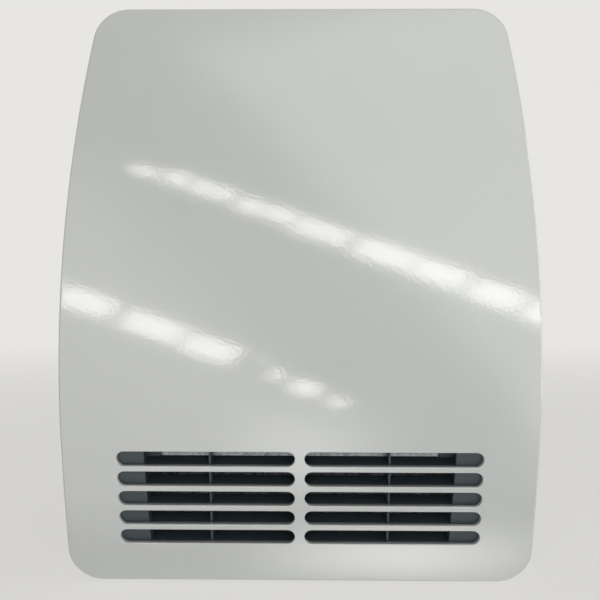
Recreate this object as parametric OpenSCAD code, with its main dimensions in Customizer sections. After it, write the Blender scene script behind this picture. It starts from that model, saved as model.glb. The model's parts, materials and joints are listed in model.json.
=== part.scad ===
// Down-draught wall fan heater for bathrooms, as an assembly of separate pieces.
// +Z is up, the front faces -Y and the wall is the plane y = 0.
// Heights in the values below are measured from the bottom edge of the front cover, and
// distances "from the wall" grow towards the room. The origin is the middle of the wall
// bracket's four screw holes, on the wall.

/* [Front cover] */
// Height of the front cover
cover_h = 470; // [462:1:480]
// Width of the front cover at its bottom edge
cover_w = 385; // [381:1:391]
// Height at which the sides start to lean inwards
lean_z = 121; // [100:1:150]
// Radius of the leaning sides, seen from the front
lean_r = 1980; // [1900:10:2300]
// Radius of the four corners, seen from the front
corner_r = 28; // [20:1:34]
// Distance from the wall to the foremost point of the front
cover_depth = 138; // [136:1:144]
// Radius of the front's bow, seen from the side
bow_r = 1107; // [1000:1:1300]
// Height at which the bowed front stands out furthest
bow_z = 260; // [240:5:280]
// Thickness of the cover's sheet steel
sheet_t = 1.2; // [0.8:0.1:1.5]
// Distance from the wall to the cover's rear edge
cover_back = 66; // [65:0.5:68]
// Distance from the middle to each of the cover's two hanging tabs
tab_x = 60; // [40:1:90]
// Width of a hanging tab
tab_w = 18; // [12:1:24]
// Length of a hanging tab below the cover's top return
tab_len = 6; // [4:0.5:8]
// Distance from the middle to each of the two screws under the cover
cover_screw_x = 120; // [90:1:140]

/* [Outlet slots] */
// Number of rows of slots
slot_rows = 5; // [3:1:5]
// Height of the upper edge of the first row
slot_top = 113.8; // [112:0.1:115]
// Height from one row to the next
slot_pitch = 16.84; // [16:0.01:17]
// Height of one slot
slot_h = 12; // [10:0.1:13]
// Distance from the middle to the inner end of a slot
slot_in = 4; // [3:0.1:8]
// Distance from the outer end of a slot to the cover's side
slot_side = 44.4; // [43.5:0.1:50]
// Depth of the drawn rim behind the sheet
rim_depth = 3; // [2:0.1:3.5]

/* [Rear housing] */
// Wall thickness of the rear housing
house_t = 2.5; // [2:0.1:3]
// Gap between the housing and the cover's returns
house_gap = 1; // [0.6:0.1:1.4]
// Length by which the housing reaches into the cover
house_lap = 10; // [9:0.5:14]
// Depth of the recess behind the housing's back wall
recess = 8; // [7:0.5:9]
// Radius of the bosses that take screws
boss_r = 4.5; // [4:0.1:4.8]

/* [Wall bracket] */
// Height of the middle of the bracket's screw holes
bracket_z = 300; // [285:1:315]
// Width of the bracket's plate
bracket_w = 220; // [210:1:240]
// Height of the bracket's plate
bracket_h = 60; // [50:1:70]
// Thickness of the bracket's steel
bracket_t = 1.5; // [1.2:0.1:2]
// Distance between screw holes across the bracket
hole_dx = 180; // [160:1:190]
// Distance between screw holes up the bracket
hole_dz = 36; // [30:1:40]
// Radius of a screw hole in the bracket
hole_r = 2.75; // [2.25:0.25:3.25]
// Distance from the middle to each of the two hooks
hook_x = 82; // [60:1:95]
// Width of a hook
hook_w = 24; // [16:1:28]
// Height of a hook's upright
hook_rise = 10; // [7:0.5:12]
// Width of the stem that reaches down to the lock screw
stem_w = 30; // [20:1:40]

/* [Blower] */
// Distance from the housing's back wall to the fan's axis
fan_room = 55.5; // [54.5:0.5:57.5]
// Height of the fan's axis above the middle of the heating element
fan_rise = 65.5; // [63:0.5:69]
// Outer radius of the fan wheel
wheel_r = 38; // [36:0.5:39]
// Distance from the duct's left end plate to the fan wheel
wheel_gap_left = 8; // [7:0.5:11]
// Distance from the fan wheel to the duct's right end plate
wheel_gap_right = 11; // [9:0.5:15]
// Number of blades in the fan wheel
wheel_blades = 24; // [18:1:28]
// Depth of a fan blade, from its outer to its inner edge
wheel_blade = 9; // [7:0.5:10]
// Thickness of a fan blade
wheel_blade_t = 0.8; // [0.6:0.1:1]
// Thickness of the fan wheel's discs
disc_t = 1.5; // [1:0.1:2]
// Radius of the fan wheel's hubs
hub_r = 8; // [6.5:0.5:10]
// Length of the fan wheel's hubs
hub_len = 12; // [8:1:16]
// Radius of the fan's shaft and end pin
shaft_r = 3; // [2.5:0.1:3.5]
// Room between the air duct and the cover's side, for motor and wiring
side_room = 65.5; // [64.5:0.5:66.5]
// Thickness of the sheet of the duct's end plates
plate_t = 1; // [0.8:0.1:1.2]
// Thickness of the sheet of the scroll and the tongue
guide_t = 1; // [0.8:0.1:1.2]
// Gap between wheel and scroll where the scroll starts
scroll_start = 4; // [3:0.5:5]
// Gap between wheel and scroll where the scroll turns straight
scroll_end = 12; // [10:0.5:13]
// Gap between wheel and vortex tongue
tongue_gap = 4; // [3:0.5:6]
// Distance from the slots' upper edge down to the vortex tongue's edge
tongue_drop = 8.4; // [4:0.1:10]
// Height of the bosses that carry the feet of the duct's end plates
foot_rise = 3.5; // [2.5:0.5:4.5]
// Height of the lower feet above the lower edge of the air opening
foot_up = 38; // [34:1:44]
// Height of the upper feet above the fan's axis
foot_over = 28; // [24:1:32]
// Length of a foot of the duct's end plates
foot_len = 16; // [14:0.5:18]
// Width of a foot of the duct's end plates
foot_w = 16; // [12:0.5:18]

/* [Bearings] */
// Outer radius of the bearing bushes
bush_r = 6; // [5:0.1:7]
// Length of the bearing bushes
bush_len = 8; // [6:0.5:9]
// Outer radius of the rubber ring that carries the left bush
ring_r = 13; // [11:0.5:14]
// Radius of the rubber ring's groove
groove_r = 10; // [9:0.1:10.5]

/* [Motor] */
// Thickness of the motor's laminated core
stack = 20; // [14:1:22]
// Width of the core
core_w = 56; // [54:1:60]
// Height of the core above the shaft
core_up = 28; // [24:1:32]
// Height of the core below the shaft
core_down = 46; // [46:1:50]
// Radius of the rotor
rotor_r = 15; // [12:0.5:16]
// Gap between rotor and core
air_gap = 0.3; // [0.3:0.05:0.5]
// Height of the core's limb that carries the coil
limb_h = 14; // [12:1:15]
// Width of the window beside that limb
window_w = 30; // [26:1:32]
// Height of the window beside that limb
window_h = 11; // [9:1:11]
// Distance from each motor bolt to the core's side
bolt_edge = 5; // [4:0.5:6]
// Radius of the motor bolts
bolt_r = 2; // [1.5:0.1:2.2]
// Thickness of the motor's bearing brackets
arm_t = 3; // [2:0.1:3.5]
// Height of the motor's bearing brackets
arm_h = 12; // [10:0.5:16]
// Length of the spacers between brackets and core
spacer = 3; // [2.5:0.1:3.5]
// Length of the rubber bushes between the duct and the motor
mount_len = 6; // [5:0.5:7]
// Radius of the motor's cooling fan
cooler_r = 20; // [15:0.5:22]
// Number of blades of the motor's cooling fan
cooler_blades = 7; // [5:1:11]

/* [Heating element] */
// Gap between the element and the vortex tongue
heater_gap = 1.2; // [0.5:0.1:2.5]
// Height of the element's middle above the air opening's upper edge
heater_rise = 12.5; // [10:0.5:14]
// Tilt of the element, its front edge up
heater_tilt = 20; // [15:1:24]
// Half width of the element from its rear to its front board
heater_half = 24; // [23:0.5:24.5]
// Height of the element's boards along the air stream
heater_h = 20; // [17:0.5:21]
// Thickness of the mica boards
mica_t = 1; // [0.6:0.1:1.2]
// Length of the ceramic end blocks
block_len = 8; // [6:0.5:10]
// Number of rows of heating ribbon
ribbon_rows = 4; // [2:2:4]
// Gap between the outer rows of ribbon and the boards
ribbon_edge = 1.5; // [1:0.1:3]
// Width of the heating ribbon
ribbon_w = 4; // [3:0.5:6]
// Thickness of the heating ribbon
ribbon_t = 0.5; // [0.3:0.1:0.8]
// Height of the heating ribbon's waves
ribbon_wave = 12; // [8:0.5:13]
// Number of waves in each row of ribbon
ribbon_waves = 24; // [12:1:28]
// Radius of the element's terminal pins
pin_r = 1.5; // [1:0.1:2]

/* [Outlet grille] */
// Width of the grille's flange beyond the slots' outer ends
flange_side = 5.5; // [3:0.5:8.5]
// Width of the grille's flange below and above the slots
flange_end = 16.2; // [15:0.1:19]
// Distance from the last row of slots to the lower grille screws
screw_drop = 10.4; // [9:0.1:12]
// Distance from the first row of slots to the upper grille screws
screw_rise = 10.2; // [9:0.1:12]
// Gap between the cover's drawn rims and the grille
grille_gap = 0.3; // [0.2:0.1:0.5]
// Thickness of the grille's flange and collar
grille_t = 2; // [1.5:0.1:2.4]
// Depth of the grille from its front to the end of its collar
grille_deep = 12.5; // [11.5:0.5:14]
// Height of the air opening below and above the slots
duct_over = 4.2; // [3.5:0.1:5.3]
// Distance from the middle to each outer upright rib
rib_x = 73; // [60:0.5:90]
// Thickness of the upright ribs
rib_t = 1.8; // [1.2:0.1:2.4]
// Distance from the grille's front to a louvre blade's front edge
louvre_in = 1; // [0.6:0.1:2]
// Distance from a louvre blade's rear edge to the collar's end
louvre_back = 0.5; // [0.2:0.1:2]
// Rise of a louvre blade from its front to its rear edge
louvre_rise = 4.2; // [1:0.1:5]
// Thickness of a louvre blade
louvre_t = 1.4; // [1:0.1:2]
// How far each side of the air opening leans inwards from its top to its bottom
cheek_lean = 3.4; // [0:0.1:5]
// Width of the seal tab at each end of the tongue
seal_w = 12; // [6:0.5:16]
// Thickness of the seal tabs
seal_t = 1.6; // [1:0.1:2]
// Distance from the middle to each grille screw
grille_screw_x = 110; // [90:1:120]

/* [Air intake] */
// Distance from the end of the intake opening to the duct's end plate
intake_end = 2; // [0:0.5:15]
// Distance from the housing's back wall to the intake opening
intake_in = 5.5; // [4.5:0.5:7.5]
// Distance from the intake opening to the cover's rear edge
intake_gap_front = 6; // [5:0.5:10]
// Height of the intake grille's bars
intake_bar_h = 7; // [5:0.5:9]
// Width of the gaps between the intake grille's bars
intake_gap = 5.5; // [4:0.1:6]
// Distance from one gap of the intake grille to the next
intake_pitch = 8; // [7.5:0.1:10]
// Thickness of the dust filter
filter_t = 4; // [3:0.1:5]
// Size of the dust filter's windows and the bars between them
filter_cell = 12; // [10:0.5:16]
// Width of the bars in the dust filter
filter_bar = 1.2; // [1:0.1:2]

/* [Control recess] */
// Distance from the outer face of the control panel to the cover's side
panel_side = 32.5; // [31.5:0.5:34.5]
// Thickness of the control panel
panel_t = 2.5; // [2:0.1:3]
// Length of the recess, from its lower to its upper end
recess_len = 164; // [163:0.5:170]
// Distance from the recess's upper end to the cover's top
recess_drop = 46; // [42:0.5:47]
// Distance from the housing's back wall to the recess's rear side
recess_in = 1.5; // [1:0.5:1.5]
// Distance from the recess's front side to the cover's rear edge
recess_gap = 6; // [4:0.5:7]
// Thickness of the recess's walls
recess_t = 2; // [1.6:0.1:2.4]
// Width of the ledge that carries the control panel, on its long sides
ledge_w = 4; // [3:0.5:5]
// Width of the ledge that carries the control panel, at its ends
ledge_end = 12; // [10:0.5:13]

/* [Controls] */
// Distance from the middle of the recess to the controls' axes, towards the wall
control_off = 0.5; // [0:0.1:1]
// Gap between the thermostat's body and the recess's upper ledge
thermostat_gap = 3; // [2:0.5:5]
// Radius of the thermostat's knob
thermostat_knob_r = 17; // [14:0.5:17.5]
// Gap between the thermostat's and the timer's bodies
timer_gap = 18; // [15:0.5:21]
// Radius of the timer's knob
timer_knob_r = 15; // [13:0.5:17]
// Height of the knobs above the panel
knob_h = 15; // [12:0.5:17]
// Thickness of a knob's skirt
skirt_t = 4; // [3:0.5:5]
// Width of a knob's skirt outside its grip
skirt_w = 3.5; // [2:0.5:5]
// Number of flutes around a knob's grip
knob_flutes = 14; // [8:1:18]
// Radius of the controls' spindles
spindle_r = 3; // [2.5:0.1:3.5]
// Radius of the controls' threaded bushings
bushing_r = 4.7; // [4.3:0.1:5.5]
// Depth of the thermostat's body behind the panel
thermostat_deep = 26; // [20:1:28]
// Depth of the timer's body behind the panel
timer_deep = 30; // [22:1:30]
// Side of the controls' bodies, across the recess
control_w = 34; // [30:0.5:36]
// Side of the controls' bodies, along the recess
control_len = 34; // [30:0.5:36]
// Gap between the power switch and the recess's lower ledge
switch_gap = 4.5; // [3.5:0.5:8.5]
// Half length of the power switch's well
well_half = 12.3; // [11:0.1:13]
// Half width of the power switch's well
well_wide = 7.5; // [6.5:0.1:9]
// Wall thickness of the power switch
well_t = 1.2; // [1:0.1:1.6]
// Depth of the power switch behind the panel
switch_deep = 20; // [17:1:22]
// Tilt of the rocker to each side of the middle
rocker_tilt = 7; // [5:0.5:8]

/* [Wiring] */
// Distance from the middle of the terminal block to the cover's side
terminal_side = 26.5; // [24.5:0.5:30.5]
// Height of the terminal block's lower face
terminal_z = 104; // [95:1:105]
// Width of the terminal block
terminal_w = 28; // [26:1:32]
// Height of the terminal block
terminal_h = 20; // [16:1:20]
// Depth of the terminal block
terminal_deep = 19; // [15:1:21]
// Height of the cable entry
entry_z = 60; // [45:1:70]
// Radius of the cable entry's bore
entry_r = 5; // [4:0.5:6]
// Radius of the insulated leads
lead_r = 1.1; // [0.9:0.1:1.3]

/* [Hidden] */

// Clearances, and how far cuts and joined shapes run into each other
play = 0.05;
slip = 0.3;
screw_play = 0.15;
skin = 0.8;
bite = 0.1;
over = 1;

// Screws: shank radius, head radius and head height
screw_r = 1.5;
head_r = 2.8;
head_h = 1.8;

// How finely the outline's arcs are divided
corner_steps = 8;
side_steps = 10;

// Cover and housing
tab_gap = 3;
tab_slot = 2;
cover_boss_r = 3.5;
cover_screw_len = 14;
house_boss_h = 20;
row_low = slot_top - slot_h - (slot_rows - 1) * slot_pitch;
house_in = sheet_t + house_gap;
back_wall = recess + house_t;
house_depth = cover_back + house_lap;
cover_screw_d = house_depth - boss_r - 0.5;
slot_out = cover_w / 2 - slot_side;

// Wall bracket
hook_gap = 1;
hook_room = 2;
hook_swing = 6;
lock_d = recess / 2 + 0.5;
lock_tab_z = house_in + house_t + bite;
lock_past = 3;
hook_top = bracket_z + bracket_h / 2;

// Outlet grille
grille_in = sheet_t + rim_depth + grille_gap;
collar_in = grille_in + grille_deep;
louvre_deep = grille_deep - louvre_in - louvre_back;
louvre_up = -0.8;
grille_half = slot_out + flange_side;
grille_low = row_low - flange_end;
grille_high = slot_top + flange_end;
duct_low = row_low - duct_over;
duct_high = slot_top + duct_over;
// The seal tabs end at the rear edge of the first louvre blade
seal_low = slot_top - slot_h + louvre_up + louvre_rise + louvre_t / 2;
grille_screws_z = [row_low - screw_drop, slot_top + screw_rise];
grille_boss_r = 4;
grille_boss_h = 2;

// Blower
tongue_low = slot_top - tongue_drop;
heater_z = duct_high + heater_rise;
fan_d = back_wall + fan_room;
fan_z = heater_z + fan_rise;
duct_half = cover_w / 2 - side_room;
wheel_x0 = wheel_gap_left - duct_half;
wheel_x1 = duct_half - wheel_gap_right;
plate_in = collar_in + 0.5;
foot_d = back_wall + foot_rise;
foot_x = duct_half + foot_len / 2 + plate_t / 2;
foot_low = duct_low + foot_up;
foot_high = fan_z + foot_over;
ring_x = -duct_half - plate_t;
ring_lip = 2.5;

// Motor, along the shaft
bracket_boss_r = 4;
pillar_r = 4.2;
rubber_r = 5;
bolt_head = 2;
bolt_head_r = bolt_r + 1.8;
nut_t = 2.5;
cooler_len = 6;
cooler_disc = 1.2;
bolt_off = core_w / 2 - bolt_edge;
motor_arm0 = duct_half + plate_t + mount_len;
core_x0 = motor_arm0 + arm_t + spacer;
core_x1 = core_x0 + stack;
motor_arm1 = core_x1 + spacer;
cooler_x = motor_arm1 + arm_t + 5.5;
shaft_end = cooler_x + cooler_len + 0.5;
inner_boss = core_x0 - 1 - bush_len;
outer_boss = core_x1 + 1;
limb_low = fan_z - core_down;
limb_high = limb_low + limb_h;
cheek = 1;
bobbin_half = window_w / 2 - slip;
wound = window_h - 1.5;
coil_in = 0.8;

// Heating element, terminals and safety devices
block_drop = 2;
heater_screw_w = -4;
frame_end = duct_half - block_len;
ribbon_pitch = (2 * (heater_half - mica_t - ribbon_edge) - ribbon_w) / (ribbon_rows - 1);
terminal_out = 9;
cutout_r = 7.5;
cutout_nose_r = 6;
cutout_h = 7;
cutout_blade = 5;
tag_t = 1;
pin_air = 1.2;
cutout_d = fan_d + 9;
cutout_z = fan_z - wheel_r - cutout_r + 0.5;
fuse_r = 2;
fuse_len = 12;
fuse_wire = 6;
fuse_wire_r = 0.6;
fuse_d = fan_d - 16;
fuse_z = cutout_z - 11;
fuse_x = ring_x - 5;
clip_half = 3.5;
clip_h = 4;
earth_d = foot_d + 26;
earth_z = foot_low + 22;

// Air intake
intake_half = duct_half - intake_end;
intake_back = back_wall + intake_in;
intake_front = cover_back - intake_gap_front;
intake_top = cover_h - house_in;
intake_rim = 1.5;
intake_lap = 4;
intake_frame = 4;
filter_gap = 0.5;
clip_w = 10;
clip_t = 1.7;
clip_low = 2;

// Control recess, controls and switch
motor_room = 2.5;
panel_x = cover_w / 2 - panel_side;
ledge_x = panel_x - panel_t;
recess_high = cover_h - recess_drop;
recess_low = max(recess_high - recess_len, fan_z + core_up + recess_t + motor_room);
recess_back = back_wall + recess_in;
recess_front = cover_back - recess_gap;
control_d = (recess_back + recess_front) / 2 - control_off;
panel_screw_past = 4;
panel_screws_z = [recess_low + ledge_end / 2, recess_high - ledge_end / 2];
thermostat_z = recess_high - ledge_end - thermostat_gap - control_len / 2;
timer_z = thermostat_z - control_len - timer_gap;
switch_z = recess_low + ledge_end + switch_gap + well_half + well_t;
spindle_floor = 4;
spindle_gap = 0.3;
knob_roof = 4;
flute_r = 1.6;
flute_out = 0.6;
pointer_w = 1.4;
pointer_deep = 1;
pointer_in = 3;
switch_rim = 2;
switch_rim_t = 1.5;
switch_floor = 6;
switch_hole = 0.2;
blade_long = 8;
blade_wide = 3;
blade_thick = 0.8;
blade_pitch = 8;
pivot_r = 1.5;
pivot_x = panel_x - 1.5;
sensor_r = 2.5;
sensor_len = 42;
sensor_x = 84;
sensor_d = back_wall + 8;
sensor_z = recess_high + 14;

// Terminal block and cable entry
terminal_x = cover_w / 2 - terminal_side;
terminal_d = back_wall + terminal_deep;
way_gap = 7.8;
way_d = back_wall + 9;
way_r = 1.8;
way_screw_r = 2.1;
way_screw_in = 5;
way_deep = 4;
grommet_t = 2;
grommet_lip = 3;
grommet_wall = 5;

// ---- Helpers: shapes drawn as [distance from the wall, height] or [x, height] ----

// Distance from the wall to the front's bow at a height, moved inwards by inset
function bow_d(z, inset = 0) =
  cover_depth - bow_r + sqrt(pow(bow_r - inset, 2) - pow(z - bow_z, 2));

// The cover's outline seen from the front, moved inwards by inset
lean_end = asin((cover_h - corner_r - lean_z) / (lean_r - corner_r));
lean_x = cover_w / 2 - lean_r;
top_x = lean_x + (lean_r - corner_r) * cos(lean_end);
function arc_points(x, z, r, a0, a1, steps) =
  [for (i = [0:steps]) let (a = a0 + (a1 - a0) * i / steps) [x + r * cos(a), z + r * sin(a)]];
function right_side(inset) = concat(
  arc_points(cover_w / 2 - corner_r, corner_r, corner_r - inset, -90, 0, corner_steps),
  arc_points(lean_x, lean_z, lean_r - inset, 0, lean_end, side_steps),
  arc_points(top_x, cover_h - corner_r, corner_r - inset, lean_end + 1, 90, corner_steps));
function mirrored(points) =
  [for (i = [len(points) - 1:-1:0]) [-points[i][0], points[i][1]]];
function outline(inset) = concat(right_side(inset), mirrored(right_side(inset)));

// A bent sheet: the polyline's own points and the same line moved sideways by t
function unit(v) = v / norm(v);
function left_of(v) = [-v[1], v[0]];
function mitre(a, b) = let (m = unit(a + b)) m / (m * a);
function side_line(p, t) = [for (i = [0:len(p) - 1])
  let (before = left_of(unit(p[max(i, 1)] - p[max(i, 1) - 1])))
  let (after = left_of(unit(p[min(i, len(p) - 2) + 1] - p[min(i, len(p) - 2)])))
  p[i] + t * mitre(before, after)];
function reversed(p) = [for (i = [len(p) - 1:-1:0]) p[i]];
function bent_sheet(p, t) = concat(p, reversed(side_line(p, t)));

module placed() translate([0, 0, -bracket_z]) children();
module both_sides() {
  children();
  mirror([1, 0, 0]) children();
}
// Side views [distance from the wall, height], extruded from x0 to x1
module along_x(x0, x1)
  translate([x0, 0, 0]) rotate([90, 0, 90]) linear_extrude(x1 - x0) mirror([1, 0]) children();
// Front views [x, height], extruded from d0 to d1 from the wall
module along_y(d0, d1)
  translate([0, -d0, 0]) rotate([90, 0, 0]) linear_extrude(d1 - d0) children();
// Top views [x, distance from the wall], extruded from z0 to z1
module along_z(z0, z1)
  translate([0, 0, z0]) linear_extrude(z1 - z0) mirror([0, 1]) children();
module block(x0, x1, d0, d1, z0, z1)
  translate([x0, -d1, z0]) cube([x1 - x0, d1 - d0, z1 - z0]);
module rod_x(x0, x1, d, z, r)
  translate([x0, -d, z]) rotate([0, 90, 0]) cylinder(h = x1 - x0, r = r, $fn = 48);
module rod_y(d0, d1, x, z, r)
  translate([x, -d0, z]) rotate([90, 0, 0]) cylinder(h = d1 - d0, r = r, $fn = 48);
module rod_z(z0, z1, x, d, r)
  translate([x, -d, z0]) cylinder(h = z1 - z0, r = r, $fn = 48);

// Everything behind the bowed front, moved inwards by inset, from d0 on
module behind_bow(inset, d0)
  along_x(-cover_w, cover_w) intersection() {
    translate([cover_depth - bow_r, bow_z]) circle(r = bow_r - inset, $fn = 720);
    translate([d0, -over]) square([cover_depth, cover_h + 2 * over]);
  }
// A bowed skin between two insets, over a stretch of height
module bow_skin(in0, in1, x, z0, z1)
  along_x(-x, x) intersection() {
    difference() {
      translate([cover_depth - bow_r, bow_z]) circle(r = bow_r - in0, $fn = 720);
      translate([cover_depth - bow_r, bow_z]) circle(r = bow_r - in1, $fn = 720);
    }
    translate([0, z0]) square([cover_depth + over, z1 - z0]);
  }
module pan(inset, d0)
  intersection() {
    along_y(d0, cover_depth + over) polygon(outline(inset));
    behind_bow(inset, d0 - over);
  }

// ---- Front cover ----

module stadium(r)
  union() {
    translate([slot_in + slot_h / 2, -r]) square([slot_out - slot_in - slot_h, 2 * r]);
    translate([slot_in + slot_h / 2, 0]) circle(r = r, $fn = 48);
    translate([slot_out - slot_h / 2, 0]) circle(r = r, $fn = 48);
  }
function slot_mid(row) = slot_top - slot_h / 2 - row * slot_pitch;
module slots(d0, d1, r)
  for (row = [0:slot_rows - 1])
    both_sides() along_y(d0, d1) translate([0, slot_mid(row)]) stadium(r);

module cover_bosses()
  intersection() {
    both_sides() for (z = grille_screws_z) rod_y(0, cover_depth, grille_screw_x, z, cover_boss_r);
    bow_skin(sheet_t / 2, sheet_t + rim_depth, cover_w / 2, 0, cover_h);
  }
module slot_rims()
  intersection() {
    slots(0, cover_depth, slot_h / 2 + sheet_t);
    bow_skin(sheet_t / 2, sheet_t + rim_depth, cover_w / 2, 0, cover_h);
  }
module front_cover()
  color([0.80, 0.80, 0.78]) placed() difference() {
    union() {
      difference() {
        pan(0, cover_back);
        pan(sheet_t, cover_back - over);
      }
      slot_rims();
      cover_bosses();
      both_sides() block(tab_x - tab_w / 2, tab_x + tab_w / 2, cover_back + tab_gap,
        cover_back + tab_gap + sheet_t, cover_h - sheet_t - tab_len, cover_h - sheet_t / 2);
    }
    slots(0, cover_depth + over, slot_h / 2);
    both_sides() rod_z(-over, sheet_t + over, cover_screw_x, cover_screw_d, screw_r + screw_play);
    both_sides() for (z = grille_screws_z)
      rod_y(bow_d(z) - sheet_t - rim_depth - over, bow_d(z) - sheet_t - skin, grille_screw_x, z,
        screw_r + screw_play);
  }
module cover_screws()
  color([0.75, 0.75, 0.76]) placed() both_sides() {
    rod_z(-head_h, 0, cover_screw_x, cover_screw_d, head_r);
    rod_z(-bite, cover_screw_len, cover_screw_x, cover_screw_d, screw_r);
  }

// ---- Rear housing ----

module shell(inset, d0, d1)
  along_y(d0, d1) polygon(outline(inset));
module recess_box(grow, x0)
  block(x0, cover_w, recess_back - grow, recess_front + grow, recess_low - grow, recess_high + grow);
module foot_places()
  both_sides() for (z = [foot_low, foot_high]) translate([foot_x, 0, z]) children();
// Two forks on the back wall that hold the thermostat's sensor
fork_t = 4;
module sensor_clips()
  for (x = [sensor_x + sensor_len / 4, sensor_x + sensor_len * 2 / 3]) difference() {
    block(x, x + fork_t, back_wall - bite, sensor_d + sensor_r - over, sensor_z - sensor_r - 2,
      sensor_z + sensor_r + 2);
    block(x - over, x + fork_t + over, sensor_d - sensor_r - bite, sensor_d + sensor_r,
      sensor_z - sensor_r - 2 * bite, sensor_z + sensor_r + 2 * bite);
  }
module rear_housing()
  color([0.22, 0.24, 0.25]) placed() difference() {
    union() {
      difference() {
        shell(house_in, 0, house_depth);
        shell(house_in + house_t, back_wall, house_depth + over);
        shell(house_in + house_t, -over, recess);
      }
      intersection() {
        shell(house_in + house_t / 2, recess, house_depth);
        recess_box(recess_t, ledge_x - house_t);
      }
      foot_places() rod_y(back_wall - bite, foot_d, 0, 0, boss_r);
      both_sides() rod_z(sheet_t, house_boss_h, cover_screw_x, cover_screw_d, boss_r);
      sensor_clips();
    }
    recess_box(0, ledge_x);
    block(ledge_x - house_t - over, ledge_x + over, recess_back + ledge_w, recess_front - ledge_w,
      recess_low + ledge_end, recess_high - ledge_end);
    for (z = panel_screws_z)
      rod_x(ledge_x - house_t - over, ledge_x + over, control_d, z, screw_r + screw_play);
    block(-intake_half, intake_half, intake_back, intake_front, intake_top - house_t - over,
      intake_top + over);
    both_sides() block(tab_x - tab_w / 2 - over, tab_x + tab_w / 2 + over, cover_back + tab_gap - over,
      cover_back + tab_gap + sheet_t + tab_slot, intake_top - house_t - over, intake_top + over);
    both_sides() block(hook_x - hook_w / 2 - hook_room, hook_x + hook_w / 2 + hook_room, recess - over,
      back_wall + over, hook_top - bracket_t - hook_swing, hook_top + 2 * bite);
    foot_places() rod_y(recess + over, foot_d + over, 0, 0, screw_r + screw_play);
    both_sides() rod_z(0, cover_screw_len + 2, cover_screw_x, cover_screw_d, screw_r + screw_play);
    rod_z(0, house_in + house_t + over, 0, lock_d, screw_r + screw_play);
    rod_y(recess - over, back_wall + over, -terminal_x, entry_z, entry_r + grommet_wall);
  }

// ---- Wall bracket ----

module wall_bracket()
  color([0.62, 0.64, 0.65]) placed() difference() {
    union() {
      block(-bracket_w / 2, bracket_w / 2, 0, bracket_t, bracket_z - bracket_h / 2, hook_top);
      block(-stem_w / 2, stem_w / 2, 0, bracket_t, lock_tab_z, bracket_z);
      block(-stem_w / 2, stem_w / 2, 0, recess - 0.5, lock_tab_z, lock_tab_z + bracket_t);
      both_sides() {
        block(hook_x - hook_w / 2, hook_x + hook_w / 2, 0, back_wall + hook_gap + bracket_t,
          hook_top - bracket_t, hook_top);
        block(hook_x - hook_w / 2, hook_x + hook_w / 2, back_wall + hook_gap,
          back_wall + hook_gap + bracket_t, hook_top - bracket_t, hook_top + hook_rise);
      }
    }
    for (x = [-hole_dx / 2, hole_dx / 2])
      for (z = [-hole_dz / 2, hole_dz / 2])
        rod_y(-over, bracket_t + over, x, bracket_z + z, hole_r);
    rod_z(0, lock_tab_z + bracket_t + over, 0, lock_d, screw_r + screw_play);
  }
module bracket_lock_screw()
  color([0.75, 0.75, 0.76]) placed() {
    rod_z(house_in - head_h, house_in, 0, lock_d, head_r);
    rod_z(house_in - bite, lock_tab_z + bracket_t + lock_past, 0, lock_d, screw_r);
  }

// ---- Outlet grille ----

module louvre(row) {
  z = slot_mid(row) - slot_h / 2 + louvre_up;
  d = bow_d(z) - grille_in - louvre_in;
  along_x(-duct_half - over, duct_half + over)
    polygon([[d, z], [d, z + louvre_t * 0.7], [d - louvre_deep, z + louvre_rise + louvre_t * 0.7],
      [d - louvre_deep, z + louvre_rise - louvre_t * 0.3], [d - 2, z - louvre_t * 0.3]]);
}
module outlet_grille()
  color([0.24, 0.27, 0.28]) placed() difference() {
    union() {
      difference() {
        union() {
          bow_skin(grille_in, grille_in + grille_t, grille_half, grille_low, grille_high);
          bow_skin(grille_in + grille_t / 2, collar_in, duct_half + grille_t, duct_low - grille_t,
            duct_high + grille_t);
        }
        along_y(0, cover_depth)
          polygon([[-duct_half, duct_high], [duct_half, duct_high],
            [duct_half - cheek_lean, duct_low], [cheek_lean - duct_half, duct_low]]);
      }
      // Seal tabs, which close the corners beside the tongue
      both_sides() intersection() {
        block(duct_half - seal_w, duct_half + over, 0, cover_depth, seal_low, duct_high + over);
        bow_skin(collar_in - seal_t, collar_in, cover_w, seal_low, duct_high + over);
      }
      for (x = [-rib_x, 0, rib_x]) intersection() {
        block(x - rib_t / 2, x + rib_t / 2, 0, cover_depth, duct_low - over, duct_high + over);
        bow_skin(grille_in, collar_in, cover_w, duct_low - over, duct_high + over);
      }
      for (row = [0:slot_rows - 1]) louvre(row);
      both_sides() for (z = grille_screws_z)
        rod_y(bow_d(z) - grille_in - grille_t - grille_boss_h, bow_d(z) - grille_in - over,
          grille_screw_x, z, grille_boss_r);
    }
    both_sides() for (z = grille_screws_z)
      rod_y(0, cover_depth, grille_screw_x, z, screw_r + screw_play);
  }
module grille_screws()
  color([0.75, 0.75, 0.76]) placed() both_sides() for (z = grille_screws_z) {
    seat = bow_d(z) - grille_in - grille_t - grille_boss_h;
    rod_y(seat - head_h, seat, grille_screw_x, z, head_r);
    rod_y(seat - bite, bow_d(z) - sheet_t - skin - slip, grille_screw_x, z, screw_r);
  }

// ---- Air intake ----

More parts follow.
